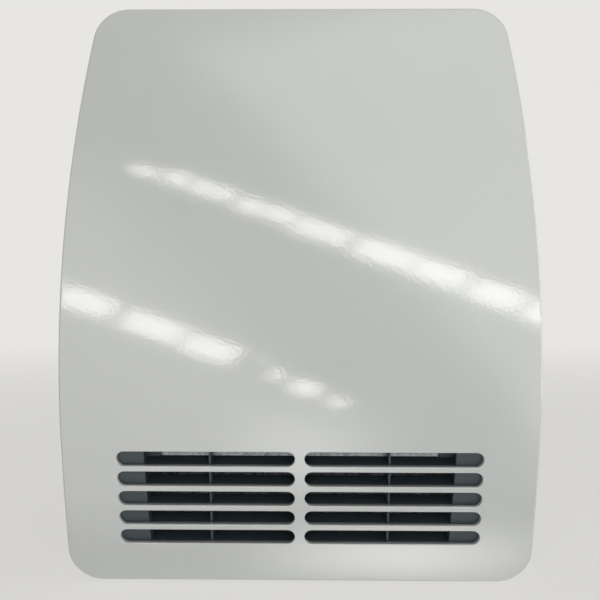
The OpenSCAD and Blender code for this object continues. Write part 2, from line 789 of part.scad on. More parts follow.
bars_low = intake_top - intake_bar_h;
filter_low = bars_low - filter_t - filter_gap;
module intake_grille()
  color([0.22, 0.24, 0.25]) placed() {
    inner = intake_front - intake_back - 2 * intake_frame;
    gaps = floor((2 * intake_half - 2 * intake_frame) / intake_pitch);
    first = -gaps * intake_pitch / 2 + (intake_pitch - intake_gap) / 2;
    along_z(bars_low, intake_top + intake_rim) difference() {
      translate([-intake_half + slip, intake_back + slip])
        square([2 * (intake_half - slip), intake_front - intake_back - 2 * slip]);
      for (i = [0:gaps - 1]) translate([first + i * intake_pitch, intake_back + intake_frame])
        square([intake_gap, inner]);
    }
    along_z(intake_top, intake_top + intake_rim) difference() {
      translate([-intake_half - intake_lap, intake_back - intake_lap])
        square([2 * (intake_half + intake_lap), intake_front - intake_back + 2 * intake_lap - filter_gap]);
      translate([-intake_half + intake_frame / 2, intake_back + intake_frame / 2])
        square([2 * intake_half - intake_frame, intake_front - intake_back - intake_frame]);
    }
    // Snap hooks that hold the filter's frame
    both_sides() for (d = [intake_back + 2 * intake_frame, intake_front - 2 * intake_frame - clip_w]) {
      block(intake_half - slip - clip_t, intake_half - slip, d, d + clip_w, filter_low - clip_low,
        bars_low + bite);
      block(intake_half - slip - 2.5 * clip_t, intake_half - slip - clip_t + bite, d, d + clip_w,
        filter_low - clip_low, filter_low - slip);
    }
  }
module dust_filter()
  color([0.55, 0.57, 0.58]) placed() {
    half = intake_half - clip_t - 2 * slip;
    wide = intake_front - intake_back - 2 * over;
    across = floor((2 * half - intake_frame) / filter_cell);
    along = floor((wide - intake_frame) / filter_cell);
    along_z(filter_low, bars_low - slip) difference() {
      translate([-half, intake_back + over]) square([2 * half, wide]);
      for (i = [0:across - 1])
        for (j = [0:along - 1])
          translate([(i - across / 2) * filter_cell + filter_bar / 2,
            intake_back + over + wide / 2 + (j - along / 2) * filter_cell + filter_bar / 2])
            square(filter_cell - filter_bar);
    }
  }

// ---- Blower ----

function fan_at(r, a) = [fan_d + r * cos(a), fan_z + r * sin(a)];
scroll_from = 100;
scroll_to = 205;
scroll_steps = 14;
lip = [bow_d(duct_low) - plate_in, duct_low];
scroll_line = concat(
  [for (i = [0:scroll_steps]) fan_at(wheel_r + scroll_start + (scroll_end - scroll_start) * i / scroll_steps,
    scroll_from + (scroll_to - scroll_from) * i / scroll_steps)],
  [lip]);
tongue_tip = -35;
tongue_steps = 5;
tongue_flare = 5;
tongue_line = concat(
  [for (i = [0:tongue_steps])
    fan_at(wheel_r + tongue_gap + tongue_flare * (1 - i / tongue_steps), tongue_tip * i / tongue_steps)],
  [[bow_d(tongue_low) - plate_in - guide_t, tongue_low]]);
module air_scroll()
  color([0.70, 0.72, 0.73]) placed() along_x(-duct_half, duct_half)
    polygon(bent_sheet(scroll_line, -guide_t));
module vortex_tongue()
  color([0.70, 0.72, 0.73]) placed() along_x(-duct_half, duct_half)
    polygon(bent_sheet(tongue_line, guide_t));

// Places on the tilted heating element, as [distance from the wall, height]. Its lower front
// corner comes nearest to the tongue, and sets how far from the wall the element sits.
tongue_end = tongue_line[tongue_steps + 1];
tongue_root = tongue_line[tongue_steps];
function tongue_at(z) = tongue_end[0]
  + (tongue_root[0] - tongue_end[0]) * (z - tongue_end[1]) / (tongue_root[1] - tongue_end[1]);
corner_d = heater_half * cos(heater_tilt) + heater_h / 2 * sin(heater_tilt);
corner_z = heater_z + heater_half * sin(heater_tilt) - heater_h / 2 * cos(heater_tilt);
heater_d = tongue_at(corner_z) - corner_d - heater_gap;
function on_heater(u, w) = [
  heater_d + u * cos(heater_tilt) - w * sin(heater_tilt),
  heater_z + u * sin(heater_tilt) + w * cos(heater_tilt)];
function ribbon_u(row) = (row - (ribbon_rows - 1) / 2) * ribbon_pitch;

// The right end plate, with its feet; the left one is its mirror image
plate_edge = 12;
collar_lap = 4;
module end_plate()
  difference() {
    union() {
      along_x(duct_half, duct_half + plate_t) intersection() {
        polygon([[foot_d, foot_low - plate_edge], [foot_d, foot_high + plate_edge],
          fan_at(wheel_r + plate_edge, 97), fan_at(wheel_r + plate_edge / 2, 12),
          fan_at(wheel_r + plate_edge + 8, -27), [cover_depth, duct_high + collar_lap],
          [cover_depth, duct_low - collar_lap], [fan_d - plate_edge / 2, duct_low - collar_lap]]);
        translate([cover_depth - bow_r, bow_z]) circle(r = bow_r - plate_in, $fn = 720);
      }
      for (z = [foot_low, foot_high])
        block(duct_half, duct_half + foot_len, foot_d, foot_d + plate_t, z - foot_w / 2, z + foot_w / 2);
    }
    for (z = [foot_low, foot_high])
      rod_y(foot_d - over, foot_d + plate_t + over, foot_x, z, screw_r + screw_play);
    for (u = [-ribbon_pitch, ribbon_pitch])
      rod_x(duct_half - over, duct_half + plate_t + over, on_heater(u, heater_screw_w)[0],
        on_heater(u, heater_screw_w)[1], screw_r + screw_play);
  }
module blower_end_plate_left()
  color([0.70, 0.72, 0.73]) placed() difference() {
    mirror([1, 0, 0]) end_plate();
    rod_x(ring_x - over, ring_x + plate_t + over, fan_d, fan_z, groove_r + play);
    rod_x(ring_x - over, ring_x + plate_t + over, cutout_d, cutout_z, cutout_nose_r + slip);
    for (row = [0:ribbon_rows - 1])
      rod_x(ring_x - over, ring_x + plate_t + over, on_heater(ribbon_u(row), 0)[0],
        on_heater(ribbon_u(row), 0)[1], pin_r + pin_air);
    rod_x(ring_x - over, ring_x + plate_t + over, earth_d, earth_z, screw_r + screw_play);
  }
module blower_end_plate_right()
  color([0.70, 0.72, 0.73]) placed() difference() {
    end_plate();
    rod_x(duct_half - over, duct_half + plate_t + over, fan_d, fan_z, 3 * shaft_r);
    for (d = [fan_d - bolt_off, fan_d + bolt_off])
      rod_x(duct_half - over, duct_half + plate_t + over, d, fan_z, bolt_r + screw_play);
  }
module blower_screws()
  color([0.75, 0.75, 0.76]) placed() foot_places() {
    rod_y(foot_d + plate_t, foot_d + plate_t + head_h, 0, 0, head_r);
    rod_y(recess + over + slip, foot_d + plate_t + bite, 0, 0, screw_r);
  }

// One curved fan blade, seen along the axis
blade_steps = 4;
blade_lean = 14;
blade_curl = 0.45;
blade_inset = 0.5;
function blade_line(a) = [for (i = [0:blade_steps])
  let (s = i / blade_steps)
  let (r = wheel_r - blade_inset - (wheel_blade - over) * s)
  let (turn = a + blade_lean * s * (1 - blade_curl * s))
  [r * cos(turn), r * sin(turn)]];
hoop_in = 2;
module fan_wheel()
  color([0.16, 0.17, 0.18]) placed() {
    span = wheel_x1 - wheel_x0;
    difference() {
      translate([wheel_x0, -fan_d, fan_z]) rotate([0, 90, 0]) {
        translate([0, 0, disc_t / 2]) linear_extrude(span - disc_t) union() {
          for (i = [0:wheel_blades - 1])
            polygon(bent_sheet(blade_line(i * 360 / wheel_blades), wheel_blade_t));
        }
        for (z = [0, span - disc_t]) translate([0, 0, z]) cylinder(h = disc_t, r = wheel_r, $fn = 96);
        for (z = [span / 3, span * 2 / 3]) translate([0, 0, z - disc_t / 2])
          linear_extrude(disc_t) difference() {
            circle(r = wheel_r, $fn = 96);
            circle(r = wheel_r - wheel_blade - hoop_in, $fn = 96);
          }
        cylinder(h = hub_len, r = hub_r, $fn = 48);
        translate([0, 0, span - hub_len]) cylinder(h = hub_len, r = hub_r, $fn = 48);
      }
      rod_x(wheel_x0 - over, wheel_x0 + hub_len + over, fan_d, fan_z, shaft_r + play);
      rod_x(wheel_x1 - hub_len - over, wheel_x1 + over, fan_d, fan_z, shaft_r + play);
    }
  }
pin_in = 2;
module fan_end_pin()
  color([0.72, 0.73, 0.74]) placed()
    rod_x(ring_x - bush_len / 2 - over, wheel_x0 + hub_len - pin_in, fan_d, fan_z, shaft_r);

// A plain bush of the bearings, from x0 on
module bush(x0)
  difference() {
    rod_x(x0, x0 + bush_len, fan_d, fan_z, bush_r);
    rod_x(x0 - over, x0 + bush_len + over, fan_d, fan_z, shaft_r + play);
  }
module fan_bearing()
  color([0.72, 0.55, 0.33]) placed() bush(ring_x - bush_len / 2);
module fan_bearing_ring()
  color([0.08, 0.08, 0.09]) placed()
    translate([ring_x, -fan_d, fan_z]) rotate([0, 90, 0]) rotate_extrude($fn = 96)
      polygon([[bush_r + play, -ring_lip], [ring_r, -ring_lip], [ring_r, -play], [groove_r, -play],
        [groove_r, plate_t + play], [ring_r, plate_t + play], [ring_r, plate_t + ring_lip],
        [bush_r + play, plate_t + ring_lip]]);

// ---- Motor ----

module motor_shaft()
  color([0.72, 0.73, 0.74]) placed()
    rod_x(wheel_x1 - hub_len + pin_in, shaft_end, fan_d, fan_z, shaft_r);
module motor_rotor()
  color([0.60, 0.61, 0.62]) placed() difference() {
    rod_x(core_x0, core_x1, fan_d, fan_z, rotor_r);
    rod_x(core_x0 - over, core_x1 + over, fan_d, fan_z, shaft_r + play);
  }
module motor_core()
  color([0.36, 0.37, 0.38]) placed() difference() {
    block(core_x0, core_x1, fan_d - core_w / 2, fan_d + core_w / 2, limb_low, fan_z + core_up);
    rod_x(core_x0 - over, core_x1 + over, fan_d, fan_z, rotor_r + air_gap);
    block(core_x0 - over, core_x1 + over, fan_d - window_w / 2, fan_d + window_w / 2, limb_high,
      limb_high + window_h);
    for (d = [fan_d - bolt_off, fan_d + bolt_off])
      rod_x(core_x0 - over, core_x1 + over, d, fan_z, bolt_r + screw_play);
  }
// A frame around the core's lower limb, grown from the limb by in and out, from d0 to d1
module limb_frame(inner, outer, d0, d1)
  difference() {
    block(core_x0 - outer, core_x1 + outer, d0, d1, limb_low - outer, limb_high + outer);
    block(core_x0 - inner, core_x1 + inner, d0 - over, d1 + over, limb_low - inner, limb_high + inner);
  }
module motor_bobbin()
  color([0.85, 0.84, 0.78]) placed() union() {
    limb_frame(slip, slip + cheek, fan_d - bobbin_half, fan_d + bobbin_half);
    limb_frame(slip, wound, fan_d - bobbin_half, fan_d - bobbin_half + cheek);
    limb_frame(slip, wound, fan_d + bobbin_half - cheek, fan_d + bobbin_half);
  }
module motor_coil()
  color([0.62, 0.36, 0.16]) placed()
    limb_frame(2 * slip + cheek, wound - coil_in, fan_d - bobbin_half + cheek + slip,
      fan_d + bobbin_half - cheek - slip);
module motor_arm(x0, boss_x0)
  difference() {
    union() {
      block(x0, x0 + arm_t, fan_d - core_w / 2, fan_d + core_w / 2, fan_z - arm_h / 2, fan_z + arm_h / 2);
      rod_x(boss_x0, boss_x0 + bush_len, fan_d, fan_z, bush_r + bracket_boss_r);
      children();
    }
    rod_x(boss_x0 - over, boss_x0 + bush_len + over, fan_d, fan_z, bush_r + play);
    for (d = [fan_d - bolt_off, fan_d + bolt_off])
      rod_x(x0 - spacer - over, x0 + arm_t + spacer + over, d, fan_z, bolt_r + screw_play);
  }
module motor_bracket_inner()
  color([0.66, 0.67, 0.68]) placed() motor_arm(motor_arm0, inner_boss)
    for (d = [fan_d - bolt_off, fan_d + bolt_off])
      rod_x(motor_arm0 + arm_t / 2, core_x0, d, fan_z, pillar_r);
module motor_bracket_outer()
  color([0.66, 0.67, 0.68]) placed() motor_arm(motor_arm1, outer_boss)
    for (d = [fan_d - bolt_off, fan_d + bolt_off])
      rod_x(core_x1, motor_arm1 + arm_t / 2, d, fan_z, pillar_r);
module motor_bearings()
  color([0.72, 0.55, 0.33]) placed() {
    bush(inner_boss);
    bush(outer_boss);
  }
module motor_bushes()
  color([0.08, 0.08, 0.09]) placed() for (d = [fan_d - bolt_off, fan_d + bolt_off]) difference() {
    rod_x(duct_half + plate_t, motor_arm0, d, fan_z, rubber_r);
    rod_x(duct_half, motor_arm0 + over, d, fan_z, bolt_r + screw_play);
  }
module motor_bolts()
  color([0.75, 0.75, 0.76]) placed() for (d = [fan_d - bolt_off, fan_d + bolt_off]) {
    rod_x(duct_half - bolt_head, duct_half, d, fan_z, bolt_head_r);
    rod_x(duct_half - bite, motor_arm1 + arm_t + nut_t + over, d, fan_z, bolt_r);
  }
module motor_nuts()
  color([0.75, 0.75, 0.76]) placed() for (d = [fan_d - bolt_off, fan_d + bolt_off]) difference() {
    translate([motor_arm1 + arm_t, -d, fan_z]) rotate([0, 90, 0])
      cylinder(h = nut_t, r = bolt_head_r, $fn = 6);
    rod_x(motor_arm1 + arm_t - over, motor_arm1 + arm_t + nut_t + over, d, fan_z, bolt_r + play);
  }
module motor_cooling_fan()
  color([0.16, 0.17, 0.18]) placed() translate([cooler_x, -fan_d, fan_z]) rotate([0, 90, 0])
    difference() {
      union() {
        cylinder(h = cooler_len, r = 2 * shaft_r, $fn = 48);
        cylinder(h = cooler_disc, r = cooler_r, $fn = 96);
        for (i = [0:cooler_blades - 1]) rotate([0, 0, i * 360 / cooler_blades])
          translate([2 * shaft_r - over, -cooler_disc / 2, 0])
            cube([cooler_r - 2 * shaft_r, cooler_disc, cooler_len]);
      }
      translate([0, 0, -over]) cylinder(h = cooler_len + 2 * over, r = shaft_r + play, $fn = 48);
    }

// ---- Heating element ----

module on_element()
  translate([0, -heater_d, heater_z]) rotate([-heater_tilt, 0, 0]) children();
module heater_frame()
  color([0.72, 0.66, 0.50]) placed() on_element() difference() {
    union() {
      both_sides() block(frame_end, duct_half, -heater_half, heater_half,
        -heater_h / 2 + block_drop, heater_h / 2 - block_drop);
      for (u = [-heater_half, heater_half - mica_t])
        block(-frame_end - bite, frame_end + bite, u, u + mica_t, -heater_h / 2, heater_h / 2);
      for (x = [-frame_end / 2, 0, frame_end / 2])
        block(x - mica_t / 2, x + mica_t / 2, -heater_half + mica_t / 2, heater_half - mica_t / 2,
          -heater_h / 2, heater_h / 2);
    }
    for (row = [0:ribbon_rows - 1]) {
      block(-frame_end + over, frame_end - over, ribbon_u(row) - ribbon_w / 2 - slip,
        ribbon_u(row) + ribbon_w / 2 + slip, -ribbon_wave / 2 - skin, ribbon_wave / 2 + skin);
      rod_x(-duct_half - over, -frame_end + over, ribbon_u(row), 0, pin_r + play);
    }
    both_sides() for (u = [-ribbon_pitch, ribbon_pitch])
      rod_x(frame_end + screw_r, duct_half + over, u, heater_screw_w, screw_r + screw_play);
  }

// A zigzag of ribbon between the end blocks, as [x, w], with a straight run at each end
ribbon_end = frame_end - slip;
ribbon_lead = 3;
zig_half = ribbon_end - ribbon_lead;
zigzag = concat([[-ribbon_end, 0], [-zig_half, 0]],
  [for (i = [0:2 * ribbon_waves - 1]) [-zig_half + (i + 0.5) * zig_half / ribbon_waves,
    (i % 2 == 0 ? 1 : -1) * (ribbon_wave / 2 - ribbon_t)]],
  [[zig_half, 0], [ribbon_end, 0]]);
module heating_ribbons()
  color([0.55, 0.50, 0.46]) placed() on_element() {
    for (row = [0:ribbon_rows - 1])
      along_y(ribbon_u(row) - ribbon_w / 2, ribbon_u(row) + ribbon_w / 2)
        polygon(bent_sheet(zigzag, ribbon_t));
    for (pair = [0:2:ribbon_rows - 1])
      block(ribbon_end - over, ribbon_end, ribbon_u(pair) - ribbon_w / 2, ribbon_u(pair + 1) + ribbon_w / 2,
        -ribbon_t, 2 * ribbon_t);
  }
module heater_terminals()
  color([0.78, 0.66, 0.36]) placed() on_element() for (row = [0:ribbon_rows - 1])
    rod_x(ring_x - terminal_out, -frame_end - bite, ribbon_u(row), 0, pin_r);
module heater_screws()
  color([0.75, 0.75, 0.76]) placed() on_element() both_sides()
    for (u = [-ribbon_pitch, ribbon_pitch]) {
      rod_x(duct_half + plate_t, duct_half + plate_t + head_h, u, heater_screw_w, head_r);
      rod_x(frame_end + screw_r + 0.5, duct_half + plate_t + bite, u, heater_screw_w, screw_r);
    }

// ---- Temperature safety devices ----

module thermal_cutout()
  color([0.30, 0.22, 0.16]) placed() union() {
    rod_x(ring_x - cutout_h, ring_x, cutout_d, cutout_z, cutout_r);
    rod_x(ring_x - bite, ring_x + plate_t + 1.5, cutout_d, cutout_z, cutout_nose_r);
    for (side = [-1, 1])
      block(ring_x - 2 * cutout_h, ring_x - cutout_h + over, cutout_d + side * cutout_blade - tag_t / 2,
        cutout_d + side * cutout_blade + tag_t / 2, cutout_z - 2, cutout_z + 2);
  }
module thermal_fuse()
  color([0.86, 0.85, 0.80]) placed() union() {
    rod_z(fuse_z, fuse_z + fuse_len, fuse_x, fuse_d, fuse_r);
    rod_z(fuse_z - fuse_wire, fuse_z + fuse_len + fuse_wire, fuse_x, fuse_d, fuse_wire_r);
  }
module fuse_clip()
  color([0.62, 0.64, 0.65]) placed() difference() {
    block(fuse_x - fuse_r - over, ring_x, fuse_d - clip_half, fuse_d + clip_half,
      fuse_z + (fuse_len - clip_h) / 2, fuse_z + (fuse_len + clip_h) / 2);
    rod_z(fuse_z, fuse_z + fuse_len, fuse_x, fuse_d, fuse_r + play);
  }

// ---- Controls ----

module control_panel()
  color([0.30, 0.32, 0.33]) placed() difference() {
    block(ledge_x, panel_x, recess_back + slip, recess_front - slip, recess_low + slip, recess_high - slip);
    for (z = [thermostat_z, timer_z])
      rod_x(ledge_x - over, panel_x + over, control_d, z, bushing_r + screw_play);
    block(ledge_x - over, panel_x + over, control_d - well_wide - well_t - switch_hole,
      control_d + well_wide + well_t + switch_hole, switch_z - well_half - well_t - switch_hole,
      switch_z + well_half + well_t + switch_hole);
    for (z = panel_screws_z) rod_x(ledge_x - over, panel_x + over, control_d, z, screw_r + screw_play);
  }
module control_panel_screws()
  color([0.75, 0.75, 0.76]) placed()
    for (z = panel_screws_z) {
      rod_x(panel_x, panel_x + head_h, control_d, z, head_r);
      rod_x(ledge_x - house_t - panel_screw_past, panel_x + bite, control_d, z, screw_r);
    }
// The body of a rotary control: a box behind the panel and a bushing through it
module rotary_body(z, deep)
  difference() {
    union() {
      block(ledge_x - deep, ledge_x, control_d - control_w / 2, control_d + control_w / 2,
        z - control_len / 2, z + control_len / 2);
      rod_x(ledge_x - over, panel_x, control_d, z, bushing_r);
    }
    rod_x(ledge_x - deep + spindle_floor, panel_x + over, control_d, z, spindle_r + play);
  }
module spindle(z, deep)
  rod_x(ledge_x - deep + spindle_floor + spindle_gap, panel_x + over + knob_h - knob_roof - spindle_gap,
    control_d, z, spindle_r);
// A fluted knob with a pointer groove, blind on its spindle
module knob(z, r)
  difference() {
    union() {
      rod_x(panel_x + over, panel_x + over + skirt_t, control_d, z, r);
      rod_x(panel_x + over, panel_x + over + knob_h, control_d, z, r - skirt_w);
    }
    for (i = [0:knob_flutes - 1])
      rod_x(panel_x + over + skirt_t, panel_x + 2 * over + knob_h,
        control_d + (r - skirt_w + flute_out) * cos(i * 360 / knob_flutes + 90),
        z + (r - skirt_w + flute_out) * sin(i * 360 / knob_flutes + 90), flute_r);
    rod_x(panel_x, panel_x + over + knob_h - knob_roof, control_d, z, spindle_r + play);
    block(panel_x + over + knob_h - pointer_deep, panel_x + 2 * over + knob_h,
      control_d - pointer_w / 2, control_d + pointer_w / 2, z + pointer_in, z + r - skirt_w - 2);
  }
module thermostat_body()
  color([0.85, 0.84, 0.78]) placed() rotary_body(thermostat_z, thermostat_deep);
module thermostat_spindle()
  color([0.72, 0.73, 0.74]) placed() spindle(thermostat_z, thermostat_deep);
module thermostat_knob()
  color([0.20, 0.21, 0.22]) placed() knob(thermostat_z, thermostat_knob_r);
module timer_body()
  color([0.85, 0.84, 0.78]) placed() rotary_body(timer_z, timer_deep);
module timer_spindle()
  color([0.72, 0.73, 0.74]) placed() spindle(timer_z, timer_deep);
module timer_knob()
  color([0.20, 0.21, 0.22]) placed() knob(timer_z, timer_knob_r);
module thermostat_sensor()
  color([0.72, 0.45, 0.28]) placed() rod_x(sensor_x, sensor_x + sensor_len, sensor_d, sensor_z, sensor_r);

module power_switch_housing()
  color([0.12, 0.12, 0.13]) placed() difference() {
    wide = well_wide + well_t;
    long = well_half + well_t;
    union() {
      block(panel_x - switch_deep, panel_x, control_d - wide, control_d + wide,
        switch_z - long, switch_z + long);
      block(panel_x, panel_x + switch_rim_t, control_d - wide - switch_rim, control_d + wide + switch_rim,
        switch_z - long - switch_rim, switch_z + long + switch_rim);
      for (i = [-1:1])
        block(panel_x - switch_deep - blade_long, panel_x - switch_deep + over, control_d - blade_wide,
          control_d + blade_wide, switch_z + i * blade_pitch - blade_thick / 2,
          switch_z + i * blade_pitch + blade_thick / 2);
    }
    block(panel_x - switch_deep + switch_floor, panel_x + switch_rim_t + over, control_d - well_wide,
      control_d + well_wide, switch_z - well_half, switch_z + well_half);
    rod_y(control_d - wide - over, control_d + wide + over, pivot_x, switch_z, pivot_r + play);
  }
// The rocker, seen from the side as [out of the well, along the well] from its pivot
rocker_deep = 4;
rocker_neck = 3;
rocker_horn = 6.5;
rocker_waist = 3.8;
module power_switch_rocker()
  color([0.12, 0.12, 0.13]) placed() translate([pivot_x, 0, switch_z]) rotate([0, -rocker_tilt, 0])
    union() {
      along_y(control_d - well_wide + slip, control_d + well_wide - slip)
        polygon([[-rocker_deep, -2 * rocker_deep], [rocker_neck, 1.8 - well_half],
          [rocker_horn, 1.2 - well_half], [rocker_waist, 0], [rocker_horn, well_half - 1.2],
          [rocker_neck, well_half - 1.8], [-rocker_deep, 2 * rocker_deep]]);
      rod_y(control_d - well_wide - well_t + switch_hole, control_d + well_wide + well_t - switch_hole,
        0, 0, pivot_r);
    }

// ---- Wiring ----

function way_x(i) = i * way_gap - terminal_x;
module terminal_block()
  color([0.90, 0.89, 0.84]) placed() difference() {
    block(-terminal_x - terminal_w / 2, -terminal_x + terminal_w / 2, back_wall, terminal_d,
      terminal_z, terminal_z + terminal_h);
    for (i = [-1:1]) {
      rod_z(terminal_z - over, terminal_z + terminal_h + over, way_x(i), way_d, way_r);
      for (z = [way_screw_in, terminal_h - way_screw_in])
        rod_y(terminal_d - way_deep, terminal_d + over, way_x(i), terminal_z + z, way_screw_r + bite);
    }
  }
module terminal_screws()
  color([0.78, 0.66, 0.36]) placed() for (i = [-1:1]) for (z = [way_screw_in, terminal_h - way_screw_in])
    rod_y(terminal_d - way_deep + bite, terminal_d - skin, way_x(i), terminal_z + z, way_screw_r);
module earth_screw()
  color([0.78, 0.66, 0.36]) placed() {
    rod_x(ring_x - head_h, ring_x, earth_d, earth_z, head_r);
    rod_x(ring_x - bite, ring_x + plate_t + 4, earth_d, earth_z, screw_r);
  }
module cable_grommet()
  color([0.08, 0.08, 0.09]) placed()
    translate([-terminal_x, -recess, entry_z]) rotate([90, 0, 0]) rotate_extrude($fn = 96) {
      neck = entry_r + grommet_wall - play;
      lip = entry_r + grommet_wall + grommet_lip;
      polygon([[entry_r, -grommet_t], [lip, -grommet_t], [lip, -play], [neck, -play],
        [neck, house_t + play], [lip, house_t + play], [lip, house_t + grommet_t],
        [entry_r, house_t + grommet_t]]);
    }

// An eight-sided tube along points [x, distance from the wall, height]
lead_sides = 8;
function across_of(v) = let (c = cross(v, [0.31, 0.52, 0.79])) unit(c);
function lead_ring(p, v, r) = let (a = across_of(v), b = cross(v, a))
  [for (i = [0:lead_sides - 1]) p + r * cos(i * 360 / lead_sides) * a + r * sin(i * 360 / lead_sides) * b];
module lead(route, r) {
  p = [for (q = route) [q[0], -q[1], q[2]]];
  n = len(p);
  rings = [for (i = [0:n - 1])
    let (before = unit(p[max(i, 1)] - p[max(i, 1) - 1]))
    let (after = unit(p[min(i, n - 2) + 1] - p[min(i, n - 2)]))
    lead_ring(p[i], unit(before + after), r)];
  points = [for (ring = rings) for (q = ring) q];
  walls = [for (i = [0:n - 2]) for (j = [0:lead_sides - 1])
    let (k = (j + 1) % lead_sides, a = i * lead_sides, b = a + lead_sides)
    for (f = [[a + j, b + j, b + k], [a + j, b + k, a + k]]) f];
  ends = concat([for (j = [1:lead_sides - 2]) [0, j, j + 1]],
    [for (j = [1:lead_sides - 2]) let (e = (n - 1) * lead_sides) [e, e + j + 1, e + j]]);
  polyhedron(points = points, faces = concat(walls, ends));
}

// Where the leads end, and the channels along the back wall that they follow. The points of each
// route are chosen by hand, from one piece to the next.
run_z = fan_z + 66;
column_gap = 14;
lead_pitch = 4;
back_way = back_wall + 15;
block_top = terminal_z + terminal_h + slip;
blade_end = panel_x - switch_deep - blade_long - slip;
pin_end = ring_x - terminal_out - slip;
tag_end = ring_x - 2 * cutout_h - slip;
body_end = ledge_x - thermostat_deep - slip;
fuse_low = fuse_z - fuse_wire - slip;
fuse_high = fuse_z + fuse_len + fuse_wire + slip;
coil_end = core_x1 + wound - coil_in + slip;
motor_way = shaft_end - 4;
control_way = ledge_x - 12;
module supply_leads()
  color([0.15, 0.25, 0.55]) placed() for (i = [-1:1]) {
    column = blade_end - column_gap + lead_pitch * i;
    row_z = run_z - lead_pitch * i;
    blade_z = switch_z - blade_pitch * i;
    lead([[way_x(i), way_d, block_top], [way_x(i), way_d, row_z], [column, way_d, row_z],
      [column, control_d, run_z + column_gap], [column, control_d, blade_z], [blade_end, control_d, blade_z]],
      lead_r);
  }
module heater_leads()
  color([0.55, 0.12, 0.10]) placed() {
    first = on_heater(ribbon_u(ribbon_rows - 1), 0);
    last = on_heater(ribbon_u(0), 0);
    tag_d = cutout_d + cutout_blade;
    other_d = cutout_d - cutout_blade;
    column = body_end - 22;
    lead([[pin_end, first[0], first[1]], [pin_end - 8, first[0], first[1]], [tag_end - 6, tag_d, cutout_z],
      [tag_end, tag_d, cutout_z]], lead_r);
    lead([[pin_end, last[0], last[1]], [pin_end - 5, last[0], last[1]], [pin_end - 5, fuse_d, fuse_z - 18],
      [fuse_x, fuse_d, fuse_z - 16], [fuse_x, fuse_d, fuse_low]], lead_r);
    lead([[fuse_x, fuse_d, fuse_high], [fuse_x, fuse_d, fuse_high + 10],
      [12 - terminal_x, back_way, fuse_high + 16], [12 - terminal_x, back_way, block_top]], lead_r);
    lead([[tag_end, other_d, cutout_z], [tag_end - 7, other_d, cutout_z],
      [tag_end - 7, back_way, cutout_z + 30], [tag_end - 7, back_way, run_z - 8],
      [column, back_way, run_z - 8], [column, back_way, thermostat_z],
      [body_end, back_way, thermostat_z]], lead_r);
  }
module motor_leads()
  color([0.15, 0.15, 0.16]) placed() for (i = [0, 1]) {
    coil_z = limb_low + 8 + lead_pitch * i;
    near_d = fan_d - 8 + 5 * i;
    far_d = back_wall + 12 + 5 * i;
    lead([[coil_end, near_d, coil_z], [motor_way, near_d, coil_z], [motor_way, far_d, coil_z + 12],
      [motor_way, far_d, run_z - 14], [ledge_x - 10, far_d - 2, run_z - 5],
      [ledge_x - 10, far_d - 2, timer_z - control_len / 2 - slip]], lead_r);
  }
module sensor_capillary()
  color([0.72, 0.45, 0.28]) placed() {
    sensor_end = sensor_x + sensor_len;
    lead([[sensor_end + slip, sensor_d, sensor_z], [sensor_end + 8, sensor_d, sensor_z],
      [control_way, control_d - 8, sensor_z - 8],
      [control_way, control_d - 8, thermostat_z + control_len / 2 + slip]], 0.8);
  }

front_cover();
rear_housing();
wall_bracket();
bracket_lock_screw();
cover_screws();
outlet_grille();
grille_screws();
intake_grille();
dust_filter();
air_scroll();
vortex_tongue();
blower_end_plate_left();
blower_end_plate_right();
blower_screws();
fan_wheel();
fan_end_pin();
fan_bearing();
fan_bearing_ring();
motor_shaft();
motor_rotor();
motor_core();
motor_bobbin();
motor_coil();
motor_bracket_inner();
motor_bracket_outer();
motor_bearings();
motor_bushes();
motor_bolts();
motor_nuts();
motor_cooling_fan();
heater_frame();
heating_ribbons();
heater_terminals();
heater_screws();
thermal_cutout();
thermal_fuse();
fuse_clip();
control_panel();
control_panel_screws();
thermostat_body();
thermostat_spindle();
thermostat_knob();
thermostat_sensor();
sensor_capillary();
timer_body();
timer_spindle();
timer_knob();
power_switch_housing();
power_switch_rocker();
terminal_block();
terminal_screws();
earth_screw();
cable_grommet();
supply_leads();
heater_leads();
motor_leads();
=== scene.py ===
# %% [markdown]
# # A bathroom wall fan heater, dressed on its CAD frame
#
# The heater is a shallow moulded shell on a wall bracket, with a bowed steel cover hung over its
# front. Warm air leaves through ten long slots low in the cover, fresh air enters through a
# grille on top, and the two knobs and the switch sit in a recess on the right-hand side.
#
# The CAD model already has every piece in its right place, so nothing is placed by eye here.
# It is loaded first, and each piece below is either one of its nodes with a better finish, or a
# finer mesh that stands in for a node. Lengths are in metres, +Z is up, the front faces -Y and
# the wall is the plane y = 0.

# %% Load the frame
import json
import math
import bmesh
import bpy
from mathutils import Matrix, Vector
from mathutils.bvhtree import BVHTree
from mathutils.geometry import delaunay_2d_cdt


